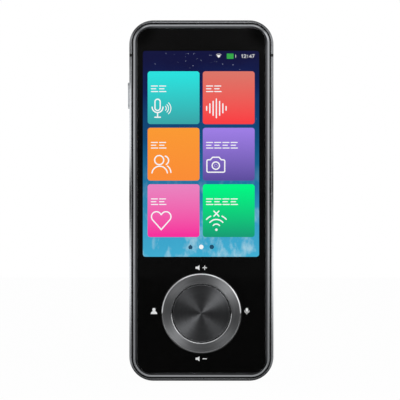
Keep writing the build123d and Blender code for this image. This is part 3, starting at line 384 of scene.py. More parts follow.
# Menu tiles: three rows of two, each with its own gradient, strokes in place of a caption and a line
# pictogram. The places are in mm from the middle of the bottom edge.
tile_left_edges = (-19.38, 0.5)
tile_width = 18.7
tile_tops = (111.7, 91.35, 71.0)
tile_height = 19.15
tile_trim = 0.1
tile_corner = 1.0
tile_colours = (
    ("turquoise", "3ba9ab", "2be6e2"),
    ("red", "ff3f44", "e0776a"),
    ("orange", "ff8f38", "ff9c35"),
    ("violet", "5f4fa0", "a080e8"),
    ("pink", "fb2f9f", "ee85c3"),
    ("green", "18a077", "00fb86"),
)
tile_depth = sky_depth - layer_step
tile_places = []
for tile_index, (tile_name, low_colour, high_colour) in enumerate(tile_colours):
    left = tile_left_edges[tile_index % 2]
    top = tile_tops[tile_index // 2]
    tile_places.append((left, top))
    tile, tile_tree, tile_shader = lit_finish(f"lit_{tile_name}")
    tile_rise = split(tile_tree, "ShaderNodeTexCoord", "Generated")["Z"]
    tile_tone = ramped(tile_tree, tile_rise, [(0.02, low_colour), (0.95, high_colour)])
    tile_tree.links.new(tile_tone, tile_shader.inputs["Emission Color"])
    tile_outline = rounded_outline(left, left + tile_width, top - tile_height, top - tile_trim, tile_corner)
    thin_layer(f"menu_tile_{tile_name}", [tile_outline], tile_depth, tile)

# Captions: two or four blank characters each, every one a stack of three plain strokes.
drawn_white = lit_clouds("lit_white", "f4f6f8", "ffffff")
caption_inset = 1.35
caption_drop = 6.4
caption_pitch = 2.95
caption_line = 0.36
caption_strokes = ((2.2, 1.0), (1.6, 0.0), (2.3, -1.0))
caption_counts = (2, 2, 2, 4, 2, 4)
captions = []
for (left, top), count in zip(tile_places, caption_counts):
    for place in range(count):
        start = left + caption_inset + place * caption_pitch
        for stroke_length, stroke_rise in caption_strokes:
            height = top - caption_drop + stroke_rise
            captions += drawn_line([(start, height), (start + stroke_length, height)], caption_line)
drawn_depth = tile_depth - layer_step
thin_layer("menu_captions", captions, drawn_depth, drawn_white)

# Pictograms, drawn from (0, 0) at the middle of each one's place in its tile: a microphone that
# sounds, a level meter, two people, a camera, a heart and a signal that is struck out.
icon_line = 0.45
fine_line = 0.3
icon_inset = 4.9
icon_drop = 13.45
stand_x = -1.31
stand_foot = -3.2
talk_icon = drawn_line(rounded_outline(-2.25, -0.37, -0.77, 3.3, 0.93), icon_line, closed=True)
talk_icon += drawn_line(arc_points((stand_x, 0.43), 1.95, 180, 360), icon_line)
talk_icon += drawn_line([(stand_x, -1.52), (stand_x, stand_foot)], icon_line)
talk_icon += drawn_line([(-2.3, stand_foot), (-0.3, stand_foot)], icon_line)
for wave_radius in (1.0, 1.8, 2.65):
    talk_icon += drawn_line(arc_points((0.85, 0.0), wave_radius, -48, 48), fine_line)
bar_pitch = 1.17
record_icon = []
for bar_index, bar_half in enumerate((0.65, 1.6, 2.5, 3.35, 2.5, 1.6, 0.65)):
    bar_x = (bar_index - 3) * bar_pitch
    record_icon += drawn_line([(bar_x, -bar_half), (bar_x, bar_half)], icon_line)
people_icon = drawn_line(disc_outline((-0.73, 1.7), 1.64, 28), icon_line, closed=True)
people_icon += drawn_line(arc_points((-0.55, -3.3), 2.8, 172, 8, 20), icon_line)
people_icon += drawn_line(arc_points((1.05, 1.56), 1.62, 76, -62), icon_line)
people_icon += drawn_line(arc_points((0.35, -2.95), 3.15, 52, 4), icon_line)
camera_corner = 0.5
camera_outline = []
for corner, start in (((-2.92, -2.17), 180), ((2.52, -2.17), 270), ((2.52, 1.3), 0)):
    camera_outline += arc_points(corner, camera_corner, start, start + 90, 4)
camera_outline += [(1.8, 1.8), (0.95, 2.72), (-1.35, 2.72), (-2.2, 1.8)]
camera_outline += arc_points((-2.92, 1.3), camera_corner, 90, 180, 4)
camera_icon = drawn_line(camera_outline, icon_line, closed=True)
camera_icon += drawn_line(disc_outline((-0.2, -0.3), 1.33, 24), icon_line, closed=True)
camera_icon += drawn_line(disc_outline((-0.2, -0.3), 0.5, 16), fine_line / 4, closed=True)
heart_side = 1.72
heart_lobe = 1.8
heart_rise = 1.65
heart_line = [(0.0, -3.0)] + arc_points((heart_side, heart_rise), heart_lobe, -42, 155, 18)
heart_line += arc_points((-heart_side, heart_rise), heart_lobe, 25, 222, 18)
heart_icon = drawn_line(heart_line, icon_line, closed=True)
offline_icon = [disc_outline((0.0, -3.05), 0.45, 12)]
fan_foot = (0.0, -2.5)
for fan_radius, fan_start, fan_end in ((1.5, 40, 140), (3.15, 42, 138), (4.78, 42, 65), (4.78, 115, 138)):
    offline_icon += drawn_line(arc_points(fan_foot, fan_radius, fan_start, fan_end, 12), icon_line)
offline_icon += drawn_line([(-0.9, 1.85), (0.9, 3.65)], icon_line)
offline_icon += drawn_line([(-0.9, 3.65), (0.9, 1.85)], icon_line)
icons = (talk_icon, record_icon, people_icon, camera_icon, heart_icon, offline_icon)
pictograms = []
for (left, top), icon in zip(tile_places, icons):
    for outline in icon:
        pictograms.append([(left + icon_inset + x, top - icon_drop + z) for x, z in outline])
thin_layer("menu_pictograms", pictograms, drawn_depth, drawn_white)

# Status line: a signal fan, a green battery gauge and a plain clock of thin figures. The figures
# are drawn from -1 to 1 in height, and scaled to their half height in mm.
status_height = 117.05
signal_foot = (6.25, status_height - 0.6)
signal_fan = [[signal_foot] + arc_points(signal_foot, 1.05, 47, 133, 8)]
signal_fan += drawn_line(arc_points(signal_foot, 1.42, 50, 130, 8), 0.12)
gauge_tip = drawn_line(arc_points((11.35, status_height), 1.05, -28, 28, 8), 0.14)
figure_pitch = 1.0
figure_line = 0.17
figure_half = 0.56
colon_line = 0.3
two_bend = [(x, z / figure_half) for x, z in arc_points((0.38, 0.2), 0.36, 165, -35, 10)]
figure_parts = {
    "1": [[(0.15, 0.6), (0.45, 1.0), (0.45, -1.0)]],
    "2": [two_bend + [(0.02, -1.0), (0.76, -1.0)]],
    "4": [[(0.56, -1.0), (0.56, 1.0), (0.0, -0.45), (0.8, -0.45)]],
    "7": [[(0.02, 1.0), (0.74, 1.0), (0.28, -1.0)]],
    ":": [[(0.36, 0.55), (0.36, 0.57)], [(0.36, -0.57), (0.36, -0.55)]],
}
clock = []
figure_x = 14.3
for figure in "12:47":
    line = colon_line if figure == ":" else figure_line
    for part in figure_parts[figure]:
        clock += drawn_line([(figure_x + x, status_height + z * figure_half) for x, z in part], line)
    figure_x += figure_pitch
thin_layer("status_marks", signal_fan + gauge_tip + clock, drawn_depth, drawn_white)
gauge_left = 9.15
gauge_right = 11.6
gauge_half = 0.95
gauge_fill = rounded_outline(
    gauge_left, gauge_right, status_height - gauge_half, status_height + gauge_half, 0.2
)
gauge_green = lit_clouds("lit_gauge", "2f9f45", "3cb350")
thin_layer("status_gauge", [gauge_fill], drawn_depth - layer_step / 4, gauge_green)

# Page marks at the foot of the picture: a small house, and a dot for each page.
page_height = 48.3
house_walls = [(-4.5, 48.35), (-4.5, 47.5), (-3.4, 47.5), (-3.4, 48.35)]
house_roof = [(-3.15, 48.35), (-3.95, 49.15), (-4.75, 48.35)]
page_dark = lit_clouds("lit_page_marks", "1d4560", "285470")
page_outlines = [house_walls + house_roof, disc_outline((3.75, page_height), 0.8)]
thin_layer("page_marks", page_outlines, drawn_depth, page_dark)
thin_layer("page_mark_now", [disc_outline((-0.05, page_height), 0.82)], drawn_depth, drawn_white)

# ----------------------------------------
# Cover glass: toughened glass with a ground edge and a drilled hole for the ring. Black ink is
# printed on its back except over the picture, and white marks are printed round the ring first.
# Its front mirrors a little of the room, and more of it at a slant, and lets the rest through.
straight_share = 0.04
slant_power = 5.0
pane, pane_tree, pane_gloss = new_finish("cover_glass")
pane_gloss.inputs["Base Color"].default_value = (1, 1, 1, 1)
pane_gloss.inputs["Metallic"].default_value = 1.0
pane_smear = ranged(pane_tree, grain_noise(pane_tree, 9.0, 3.0), 0.015, 0.05)
pane_tree.links.new(pane_smear, pane_gloss.inputs["Roughness"])
pane_facing = pane_tree.nodes.new("ShaderNodeLayerWeight")
pane_facing.inputs["Blend"].default_value = 0.5
pane_side = pane_tree.nodes.new("ShaderNodeNewGeometry")
slant = calculated(pane_tree, "POWER", pane_facing.outputs["Facing"], slant_power)
slant = calculated(pane_tree, "MULTIPLY", slant, 1 - straight_share)
mirror_share = calculated(pane_tree, "ADD", slant, straight_share)
outer_side = calculated(pane_tree, "SUBTRACT", 1.0, pane_side.outputs["Backfacing"])
mirror_share = calculated(pane_tree, "MULTIPLY", mirror_share, outer_side)


def blended(tree, share, first, second):
    """Gives a material the first shader, and the second one by that share."""
    mix = tree.nodes.new("ShaderNodeMixShader")
    tree.links.new(share, mix.inputs["Fac"])
    tree.links.new(first, mix.inputs[1])
    tree.links.new(second, mix.inputs[2])
    tree.links.new(mix.outputs["Shader"], tree.nodes["Material Output"].inputs["Surface"])


pane_clear = pane_tree.nodes.new("ShaderNodeBsdfTransparent")
blended(pane_tree, mirror_share, pane_clear.outputs["BSDF"], pane_gloss.outputs["BSDF"])

band_low, band_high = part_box("band_lower")
body_side = band_high.x / MM
body_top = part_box("band_top")[1].z / MM
glass_front = glass_low.y / MM
glass_inset = body_side + glass_low.x / MM
glass_corner = 4.5
glass_edge_chamfer = 0.25


def round_body(inset, corner):
    """An outline round the front of the body, that far in from its sides, with that corner radius."""
    return rounded_outline(inset - body_side, body_side - inset, inset, body_top - inset, corner, 20)


def loops_round_body(shape, places):
    """Closed loops round the body, from (inset, corner radius, depth) in mm."""
    return [placed_loop(shape, round_body(inset, corner), depth) for inset, corner, depth in places]


def loop_edges(shape, loop):
    """The edges of a closed loop, made where they are missing."""
    edges = []
    for pair in zip(loop, loop[1:] + loop[:1]):
        edges.append(shape.edges.get(pair) or shape.edges.new(pair))
    return edges


def joined_loops(shape, loops):
    """Smooth faces from each loop to the next, with a sharp edge along each loop."""
    for first, second in zip(loops, loops[1:]):
        for step in range(len(first)):
            after = (step + 1) % len(first)
            face = shape.faces.new((first[step], first[after], second[after], second[step]))
            face.smooth = True
    for loop in loops:
        for edge in loop_edges(shape, loop):
            edge.smooth = False


def front_middle(low, high):
    """The middle of a box across the front, in mm."""
    return (low.x + high.x) / 2 / MM, (low.z + high.z) / 2 / MM


ring_low, ring_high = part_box("nav_ring")
ring_middle = front_middle(ring_low, ring_high)
ring_radius = (ring_high.x - ring_low.x) / 2 / MM
hole_gap = 0.25
glass_hole = disc_outline(ring_middle, ring_radius + hole_gap, 96)
pane_shape = bmesh.new()
pane_places = (
    (glass_inset + glass_edge_chamfer, glass_corner - glass_edge_chamfer, glass_front),
    (glass_inset, glass_corner, glass_front + glass_edge_chamfer),
    (glass_inset, glass_corner, glass_back),
)
pane_loops = loops_round_body(pane_shape, pane_places)
hole_loops = [placed_loop(pane_shape, glass_hole, depth) for depth in (glass_front, glass_back)]
joined_loops(pane_shape, pane_loops)
joined_loops(pane_shape, hole_loops)
for outer_loop, hole_loop in ((pane_loops[0], hole_loops[0]), (pane_loops[-1], hole_loops[-1])):
    rims = loop_edges(pane_shape, outer_loop) + loop_edges(pane_shape, hole_loop)
    bmesh.ops.triangle_fill(pane_shape, use_beauty=True, edges=rims)
bmesh.ops.recalc_face_normals(pane_shape, faces=pane_shape.faces[:])
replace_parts(shaped_piece("glass_pane", pane_shape, pane), "front_glass")


def pierced_layer(name, outer, holes, depth, finish):
    """A printed layer with holes through it, filled between its outlines."""
    curve = bpy.data.curves.new(name, "CURVE")
    curve.dimensions = "2D"
    curve.fill_mode = "BOTH"
    for outline in [outer] + holes:
        line = curve.splines.new("POLY")
        line.points.add(len(outline) - 1)
        for point, (x, z) in zip(line.points, outline):
            point.co = (x * MM, z * MM, 0, 1)
        line.use_cyclic_u = True
    drawn = bpy.data.objects.new(name + "_drawn", curve)
    mesh = bpy.data.meshes.new_from_object(drawn)
    mesh.name = name
    for vertex in mesh.vertices:
        vertex.co = (vertex.co.x, depth * MM, vertex.co.y)
    bpy.data.objects.remove(drawn)
    mesh.materials.clear()
    fixed_piece(name, mesh, finish)


ink_gap = 0.01
ink_margin = 0.03
ink_hole_gap = 0.4
ink_left = glass_low.x / MM + ink_margin
ink_low = glass_low.z / MM + ink_margin
ink_high = glass_high.z / MM - ink_margin
ink_outline = rounded_outline(ink_left, -ink_left, ink_low, ink_high, glass_corner - ink_margin)
ink_holes = [picture_outline, disc_outline(ring_middle, ring_radius + ink_hole_gap, 72)]
ink, ink_shader = clouded("black_ink", "080808", "0a0a0a", 3.0, 0.8)
ink_shader.inputs["Specular IOR Level"].default_value = 0.0
pierced_layer("glass_ink", ink_outline, ink_holes, glass_back - ink_gap, ink)

# Marks round the ring: louder above, softer below, the user on the left and the voice on the right.
mark_line = 0.3
fine_mark_line = 0.22
louder_height = 40.8
softer_height = 8.0
mark_middle = 25.2
user_x = -17.1
voice_x = 16.4
horn = [(-2.1, -0.38), (-1.45, -0.38), (-0.7, -0.9), (-0.7, 0.9), (-1.45, 0.38), (-2.1, 0.38)]
marks = []
for mark_height in (louder_height, softer_height):
    marks.append([(x, mark_height + z) for x, z in horn])
    marks += drawn_line([(0.55, mark_height), (1.85, mark_height)], mark_line)
marks += drawn_line([(1.2, louder_height - 0.65), (1.2, louder_height + 0.65)], mark_line)
marks.append(disc_outline((user_x, mark_middle + 0.5), 0.6, 16))
marks.append(arc_points((user_x, mark_middle - 1.1), 1.15, 0, 180, 14))
marks.append(rounded_outline(voice_x - 0.45, voice_x + 0.45, mark_middle - 0.3, mark_middle + 1.1, 0.44))
marks += drawn_line(arc_points((voice_x, mark_middle + 0.1), 0.8, 180, 360, 12), fine_mark_line)
marks += drawn_line([(voice_x, mark_middle - 0.7), (voice_x, mark_middle - 1.1)], fine_mark_line)
mark_white = clouded("white_ink", "dcdddd", "f4f5f5", 0.6, 0.6)[0]
thin_layer("glass_marks", marks, glass_back - 2 * ink_gap, mark_white)

# ----------------------------------------
# Metal band and bezel: aluminium extrusion bent round and welded, bead blasted and anodised. The
# bezel's outer chamfer is cut after anodising, so it is brighter. Nylon strips part the band. The
# talk key is anodised like the band, a little lighter.
anodised = grained("blasted_anodise", "b0b2b5", 0.27, 0.09, 0.0001, 1.0, 0.02, gloss_spread=0.006)
finish_nodes(anodised, "band_lower", "band_top")
bright_key = grained("bright_key", "bcbfc2", 0.24, 0.09, 0.0001, 1.0, 0.02, gloss_spread=0.006)
finish_nodes(bright_key, "talk_key")
nylon_strip = grained("break_nylon", "161718", 0.5, 0.2, 0.006)
finish_nodes(nylon_strip, "antenna_break_left", "antenna_break_right")

# Faces of the bezel that look more to the front than its cut chamfer keep the grey anodising.
uncut_facing = -0.76
uncut_dulling = 0.16
cut_bezel = grained("cut_bezel", "abadb0", 0.14, 0.15, 0.0001, 1.0, 0.02, gloss_spread=0.006)
bezel_tree = cut_bezel.node_tree
bezel_inputs = bezel_tree.nodes["Principled BSDF"].inputs
bezel_lie = split(bezel_tree, "ShaderNodeNewGeometry", "True Normal")
uncut = calculated(bezel_tree, "LESS_THAN", bezel_lie["Y"], uncut_facing)
cut_tone = bezel_inputs["Base Color"].links[0].from_socket
bezel_tree.links.new(mixed(bezel_tree, uncut, cut_tone, srgb("6c6e71")), bezel_inputs["Base Color"])
cut_gloss = bezel_inputs["Roughness"].links[0].from_socket
dulled = calculated(bezel_tree, "MULTIPLY", uncut, uncut_dulling)
bezel_tree.links.new(calculated(bezel_tree, "ADD", cut_gloss, dulled), bezel_inputs["Roughness"])

# The bezel's section, from the back of its outer wall over the chamfer and down to the ledge that
# the glass rests on.
bezel_low, bezel_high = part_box("front_bezel")
bezel_inset = body_side + bezel_low.x / MM
bezel_back = bezel_high.y / MM
bezel_chamfer = 0.7
shoulder_drop = 1.05
bezel_shoulder = glass_front + shoulder_drop
seat_gap = 0.05
seat_inset = glass_inset - seat_gap
ledge_width = 1.2
ledge_inset = seat_inset + ledge_width
tape_room = 0.2
ledge_face = glass_back + tape_room
bezel_corner = 6.6
seat_corner = glass_corner + seat_gap
ledge_corner = 4.0
bezel_places = (
    (bezel_inset, bezel_corner, bezel_back),
    (bezel_inset, bezel_corner, bezel_shoulder),
    (bezel_inset + bezel_chamfer, bezel_corner - bezel_chamfer, bezel_shoulder - bezel_chamfer),
    (seat_inset, seat_corner, bezel_low.y / MM),
    (seat_inset, seat_corner, ledge_face),
    (ledge_inset, ledge_corner, ledge_face),
    (ledge_inset, ledge_corner, bezel_back),
)
bezel_shape = bmesh.new()
bezel_loops = loops_round_body(bezel_shape, bezel_places)
joined_loops(bezel_shape, bezel_loops + bezel_loops[:1])
bmesh.ops.recalc_face_normals(bezel_shape, faces=bezel_shape.faces[:])
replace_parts(shaped_piece("bezel_frame", bezel_shape, cut_bezel), "front_bezel")

# Painted shade: a black sheet just in front of the band fills the groove between the band and the bezel,
# and laps onto the band's inner edge, to keep the groove dark.
shade_sheet_outer_inset = 0.9
shade_sheet_outer_corner = 7.4
shade_sheet_inner_inset = 1.43
shade_sheet_inner_corner = 6.62
shade_sheet_rise = 0.01
shade_sheet_outer = round_body(shade_sheet_outer_inset, shade_sheet_outer_corner)
shade_sheet_inner = round_body(shade_sheet_inner_inset, shade_sheet_inner_corner)
shade_sheet_depth = band_low.y / MM - shade_sheet_rise
# A matt black finish for this painted shade in the groove.
groove_shade_finish = grained("groove_painted_shade", "0b0b0c", 0.85, 0.2, 0.01)
groove_shade_finish.node_tree.nodes["Principled BSDF"].inputs["Specular IOR Level"].default_value = 0.1
pierced_layer("groove_shade_sheet", shade_sheet_outer, [shade_sheet_inner], shade_sheet_depth, groove_shade_finish)

# ----------------------------------------
# Keys: a turned aluminium ring and centre cap on moulded carriers, over a silicone sheet with
# nubs, five steel snap domes and a small circuit board.


def distance_from(tree, centre):
    """The distance across the front from a centre in mm, and its parts along X and Z, in metres."""
    place = split(tree, "ShaderNodeTexCoord", "Object")
    across = calculated(tree, "SUBTRACT", place["X"], centre[0] * MM)
    upward = calculated(tree, "SUBTRACT", place["Z"], centre[1] * MM)
    square = calculated(tree, "MULTIPLY", across, across)
    square = calculated(tree, "ADD", square, calculated(tree, "MULTIPLY", upward, upward))
    return calculated(tree, "SQRT", square), across, upward


def turned(name, code, roughness, anisotropy, groove, spread):
    """Turned metal: grooves round the keys' middle, that many mm apart, and bright cut edges."""
    finish, tree, shader = new_finish(name)
    outward, across, upward = distance_from(tree, ring_middle)
    joined = tree.nodes.new("ShaderNodeCombineXYZ")
    tree.links.new(calculated(tree, "DIVIDE", outward, groove * MM), joined.inputs["X"])
    swing = 1.6
    least_turn = 0.05
    cut_shine = 0.6
    gloss_spread = 0.05
    for part, axis in ((across, "Y"), (upward, "Z")):
        heading = calculated(tree, "MULTIPLY", calculated(tree, "DIVIDE", part, outward), swing)
        tree.links.new(heading, joined.inputs[axis])
    noise = tree.nodes.new("ShaderNodeTexNoise")
    noise.inputs["Scale"].default_value = 1.0
    noise.inputs["Detail"].default_value = 3.0
    tree.links.new(joined.outputs["Vector"], noise.inputs["Vector"])
    tone = two_toned(tree, noise.outputs["Fac"], code, spread)
    lie = split(tree, "ShaderNodeNewGeometry", "True Normal")
    cut_edge = calculated(tree, "GREATER_THAN", calculated(tree, "ADD", lie["Y"], 1.0), least_turn)
    tree.links.new(mixed(tree, cut_edge, tone, srgb("e2e3e5")), shader.inputs["Base Color"])
    gloss = ranged(tree, noise.outputs["Fac"], roughness - gloss_spread, roughness + gloss_spread)
    cut_gloss = calculated(tree, "SUBTRACT", 1.0, calculated(tree, "MULTIPLY", cut_edge, cut_shine))
    tree.links.new(calculated(tree, "MULTIPLY", gloss, cut_gloss), shader.inputs["Roughness"])
    tangent = tree.nodes.new("ShaderNodeTangent")
    tangent.direction_type = "RADIAL"
    tangent.axis = "Y"
    tree.links.new(tangent.outputs["Tangent"], shader.inputs["Tangent"])
    shader.inputs["Metallic"].default_value = 1.0
    shader.inputs["Anisotropic"].default_value = anisotropy
    shader.inputs["Anisotropic Rotation"].default_value = 0.25
    return finish


finish_nodes(turned("turned_ring", "88898b", 0.34, 0.8, 0.22, 0.22), "nav_ring")
finish_nodes(turned("spun_cap", "5d5e60", 0.32, 0.9, 0.18, 0.2), "centre_cap")
key_moulding = grained("carrier_moulding", "131314", 0.5, 0.25, 0.01)
finish_nodes(key_moulding, "ring_carrier", "centre_plunger", "switch_plunger", "talk_switch")
finish_nodes(grained("grey_silicone", "8d8f90", 0.6, 0.4, 0.006), "key_membrane")
finish_nodes(grained("dome_steel", "bdbdb9", 0.22, 0.1, 0.001, 1.0), "snap_domes")

# ----------------------------------------
# USB-C socket: a drawn steel shell round a moulded black tongue, with gold-plated pads on both of
# its faces. It is soldered on a small board of its own behind the opening in the band.
drawn_steel = grained("drawn_steel", "a5a6a7", 0.26, 0.12, 0.002, 1.0, stretch=(1, 1, 6))
finish_nodes(drawn_steel, "usb_shell")
finish_nodes(grained("tongue_moulding", "111112", 0.42, 0.2, 0.004), "usb_tongue")
shell_low, shell_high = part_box("usb_shell")
tongue_middle = (shell_low.y + shell_high.y) / 2 / MM
tongue_half = 0.35
pad_pitch = 0.5
pad_width = 0.28
pad_length = 3.2
pad_height = 0.03
pad_count = 12
pad_start = 0.5
pad_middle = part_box("usb_tongue")[0].z / MM + pad_start + pad_length / 2
pad_size = Matrix.Diagonal((pad_width * MM, pad_height * MM, pad_length * MM, 1))
pads_shape = bmesh.new()
for face_side in (-1, 1):
    pad_y = tongue_middle + face_side * (tongue_half + pad_height / 2)
    for pad in range(pad_count):
        pad_x = (pad - (pad_count - 1) / 2) * pad_pitch
        pad_place = Matrix.Translation((pad_x * MM, pad_y * MM, pad_middle * MM))
        bmesh.ops.create_cube(pads_shape, size=1, matrix=pad_place @ pad_size)
gold = grained("gold_plate", "d2a85a", 0.25, 0.1, 0.001, 1.0)
shaped_piece("usb_pads", pads_shape, gold)

# ----------------------------------------
# Rear cover: moulded in black polycarbonate with a fine spark-eroded texture. It clips into the
# rails. Its grille is etched steel, coated black, over a woven dust mesh.
finish_nodes(grained("eroded_polycarbonate", "1b1c1e", 0.5, 0.22, 0.012, spread=0.06), "rear_cover")
finish_nodes(grained("coated_steel", "303134", 0.38, 0.15, 0.003, 1.0), "speaker_grille")
weave_scale = 1900.0
weave, weave_tree, weave_shader = new_finish("woven_mesh")
weave_where = weave_tree.nodes.new("ShaderNodeTexCoord")
thread_heights = []
for weave_direction in ("X", "Z"):
    threads = weave_tree.nodes.new("ShaderNodeTexWave")
    threads.wave_type = "BANDS"
    threads.bands_direction = weave_direction
    threads.inputs["Scale"].default_value = weave_scale
    weave_tree.links.new(weave_where.outputs["Object"], threads.inputs["Vector"])
    thread_heights.append(threads.outputs["Fac"])
weave_height = calculated(weave_tree, "MAXIMUM", *thread_heights)
weave_tone = mixed(weave_tree, weave_height, srgb("060606"), srgb("1d1d1f"))
weave_tree.links.new(weave_tone, weave_shader.inputs["Base Color"])
bumped(weave_tree, weave_shader, weave_height, 0.04)
weave_shader.inputs["Roughness"].default_value = 0.85
finish_nodes(weave, "speaker_mesh")

# ----------------------------------------
# Rear camera and flash: a turned ring round a glass window that is inked black but for its middle,
# a stack of coated lenses behind it, and a lamp behind a ribbed lens.
finish_nodes(grained("polished_trim", "85878a", 0.16, 0.12, 0.0006, 1.0), "camera_trim")
finish_nodes(grained("module_black", "0c0c0d", 0.45, 0.2, 0.006), "camera_module")
finish_nodes(pane, "camera_window")
window_low, window_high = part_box("camera_window")
window_middle = front_middle(window_low, window_high)


def turned_piece(name, profile, finish, count=48):
    """A piece turned about the camera's axis: profile points are (radius, depth) in mm."""
    shape = bmesh.new()
    rings = []
    for radius, depth in profile:
        ring = disc_outline(window_middle, radius, count) if radius else [window_middle]
        rings.append(placed_loop(shape, ring, depth))
    for inner, outer in zip(rings, rings[1:]):
        for step in range(count):
            after = (step + 1) % count
            near = [inner[0]] if len(inner) == 1 else [inner[step], inner[after]]
            far = [outer[0]] if len(outer) == 1 else [outer[after], outer[step]]
            shape.faces.new(near + far)
    bmesh.ops.recalc_face_normals(shape, faces=shape.faces[:])
    for face in shape.faces:
        face.smooth = True
    shaped_piece(name, shape, finish)


window_opening = 2.3
window_margin = 0.1
window_rim = (window_high.x - window_low.x) / 2 / MM - window_margin
window_back = window_low.y / MM + ink_gap
turned_piece("camera_window_ink", [(window_opening, window_back), (window_rim, window_back)], ink)
lens_dome = 1.5
lens_rise = 0.35
lens_steps = 6
lens_gap = 0.02
barrel_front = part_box("camera_module")[1].y / MM + lens_gap
lens_profile = [(window_opening, barrel_front)]
for step in range(lens_steps + 1):
    share = step / lens_steps
    lens_profile.append((lens_dome * (1 - share), barrel_front + lens_rise * math.sin(share * math.pi / 2)))
lens, lens_shader = clouded("coated_lens", "0b0f1c", "1a1430", 1.2, 0.06)
lens_shader.inputs["Coat Weight"].default_value = 1.0
lens_shader.inputs["Coat Tint"].default_value = srgb("8f9fe8")
turned_piece("camera_lens", lens_profile, lens)

rib_scale = 900.0
flash_middle = front_middle(*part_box("flash_lens"))
ribbed, ribbed_tree, ribbed_shader = new_finish("ribbed_lens")
ribbed_where = ribbed_tree.nodes.new("ShaderNodeTexCoord")
ribbed_shift = ribbed_tree.nodes.new("ShaderNodeMapping")
ribbed_shift.inputs["Location"].default_value = (-flash_middle[0] * MM, 0, -flash_middle[1] * MM)
ribs = ribbed_tree.nodes.new("ShaderNodeTexWave")
ribs.wave_type = "RINGS"
ribs.rings_direction = "Y"
ribs.inputs["Scale"].default_value = rib_scale
ribbed_tree.links.new(ribbed_where.outputs["Object"], ribbed_shift.inputs["Vector"])
ribbed_tree.links.new(ribbed_shift.outputs["Vector"], ribs.inputs["Vector"])
ribbed_tone = mixed(ribbed_tree, ribs.outputs["Fac"], srgb("c9c4ae"), srgb("f3f0e2"))
ribbed_tree.links.new(ribbed_tone, ribbed_shader.inputs["Base Color"])
bumped(ribbed_tree, ribbed_shader, ribs.outputs["Fac"], 0.08)
ribbed_shader.inputs["Roughness"].default_value = 0.12
finish_nodes(ribbed, "flash_lens")
finish_nodes(grained("lamp_phosphor", "d8c352", 0.6, 0.15, 0.004), "flash_lamp")

# ----------------------------------------
# Stage: a pale floor under plain light. The eye sees it white, with a faint shadow. Mirrors see a
# grey floor in strips, given as (mm from the middle, level), and none in front of floor_near.


def stage_sheet(name, corners, finish):
    """One flat sheet of the stage, from its corners in metres."""
    mesh = bpy.data.meshes.new(name)
    mesh.from_pydata(corners, [], [range(len(corners))])
    mesh.materials.append(finish)
    sheet = bpy.data.objects.new(name, mesh)
    bpy.context.scene.collection.objects.link(sheet)
    return sheet


floor_near = 10.0
floor_levels = (
    (-10, 0.15), (-7.4, 0.15), (-7, 0.33), (-5.5, 0.33), (-5.4, 0.9),
    (-4.7, 0.9), (-4.6, 0.1), (-3.9, 0.1), (-3.2, 0.5), (0, 0.55),
)
floor_finish, floor_shader = clouded("pale_floor", "f4f4f4", "f8f8f8", 40.0, 0.9)
floor_tree = floor_finish.node_tree
floor_shader.inputs["Specular IOR Level"].default_value = 0.0
floor_rays = floor_tree.nodes.new("ShaderNodeLightPath").outputs
floor_at = split(floor_tree, "ShaderNodeTexCoord", "Object")
floor_place = calculated(floor_tree, "DIVIDE", floor_at["Y"], floor_near * MM)
floor_place = calculated(floor_tree, "ADD", floor_place, 1.0)
floor_stops = [(y / floor_near + 1.0, level) for y, level in floor_levels]
floor_mirrored = ramped(floor_tree, floor_place, floor_stops)
floor_lit = calculated(floor_tree, "GREATER_THAN", floor_at["Y"], -floor_near * MM)
floor_mirrored = calculated(floor_tree, "MULTIPLY", floor_mirrored, floor_lit)

# Towards the sides the floor is darker. The bezel mirrors it in front of bezel_share_end, and the
# band behind that.
floor_side_reach = 40.0
bezel_share_end = -4.65
floor_whiteness = 0.97
floor_aside = calculated(floor_tree, "ABSOLUTE", floor_at["X"])
floor_aside = calculated(floor_tree, "DIVIDE", floor_aside, floor_side_reach * MM)
under_bezel = ramped(floor_tree, floor_aside, [(0.6, 0.67), (0.75, 1.0)])
under_band = ramped(floor_tree, floor_aside, [(0.5, 1.0), (0.6, 0.2), (0.78, 0.2), (0.9, 1.0)])
is_under_band = calculated(floor_tree, "GREATER_THAN", floor_at["Y"], bezel_share_end * MM)
floor_corner = mixed(floor_tree, is_under_band, under_bezel, under_band)
floor_mirrored = calculated(floor_tree, "MULTIPLY", floor_mirrored, floor_corner)
floor_seen = calculated(
    floor_tree, "MAXIMUM", floor_rays["Is Camera Ray"], floor_rays["Is Transmission Ray"]
)
floor_white = floor_tree.nodes.new("ShaderNodeEmission")
floor_level = calculated(floor_tree, "MAXIMUM", floor_seen, floor_mirrored)
floor_tree.links.new(floor_level, floor_white.inputs["Strength"])
floor_share = calculated(floor_tree, "MULTIPLY", floor_seen, floor_whiteness)
floor_share = calculated(floor_tree, "MAXIMUM", floor_share, floor_rays["Is Glossy Ray"])
blended(floor_tree, floor_share, floor_shader.outputs["BSDF"], floor_white.outputs["Emission"])
floor_reach = 1.6
floor_drop = -0.00005
floor_corners = [
    (x * floor_reach, y * floor_reach, floor_drop) for x, y in ((-1, -1), (1, -1), (1, 1), (-1, 1))
]
stage_sheet("floor", floor_corners, floor_finish)

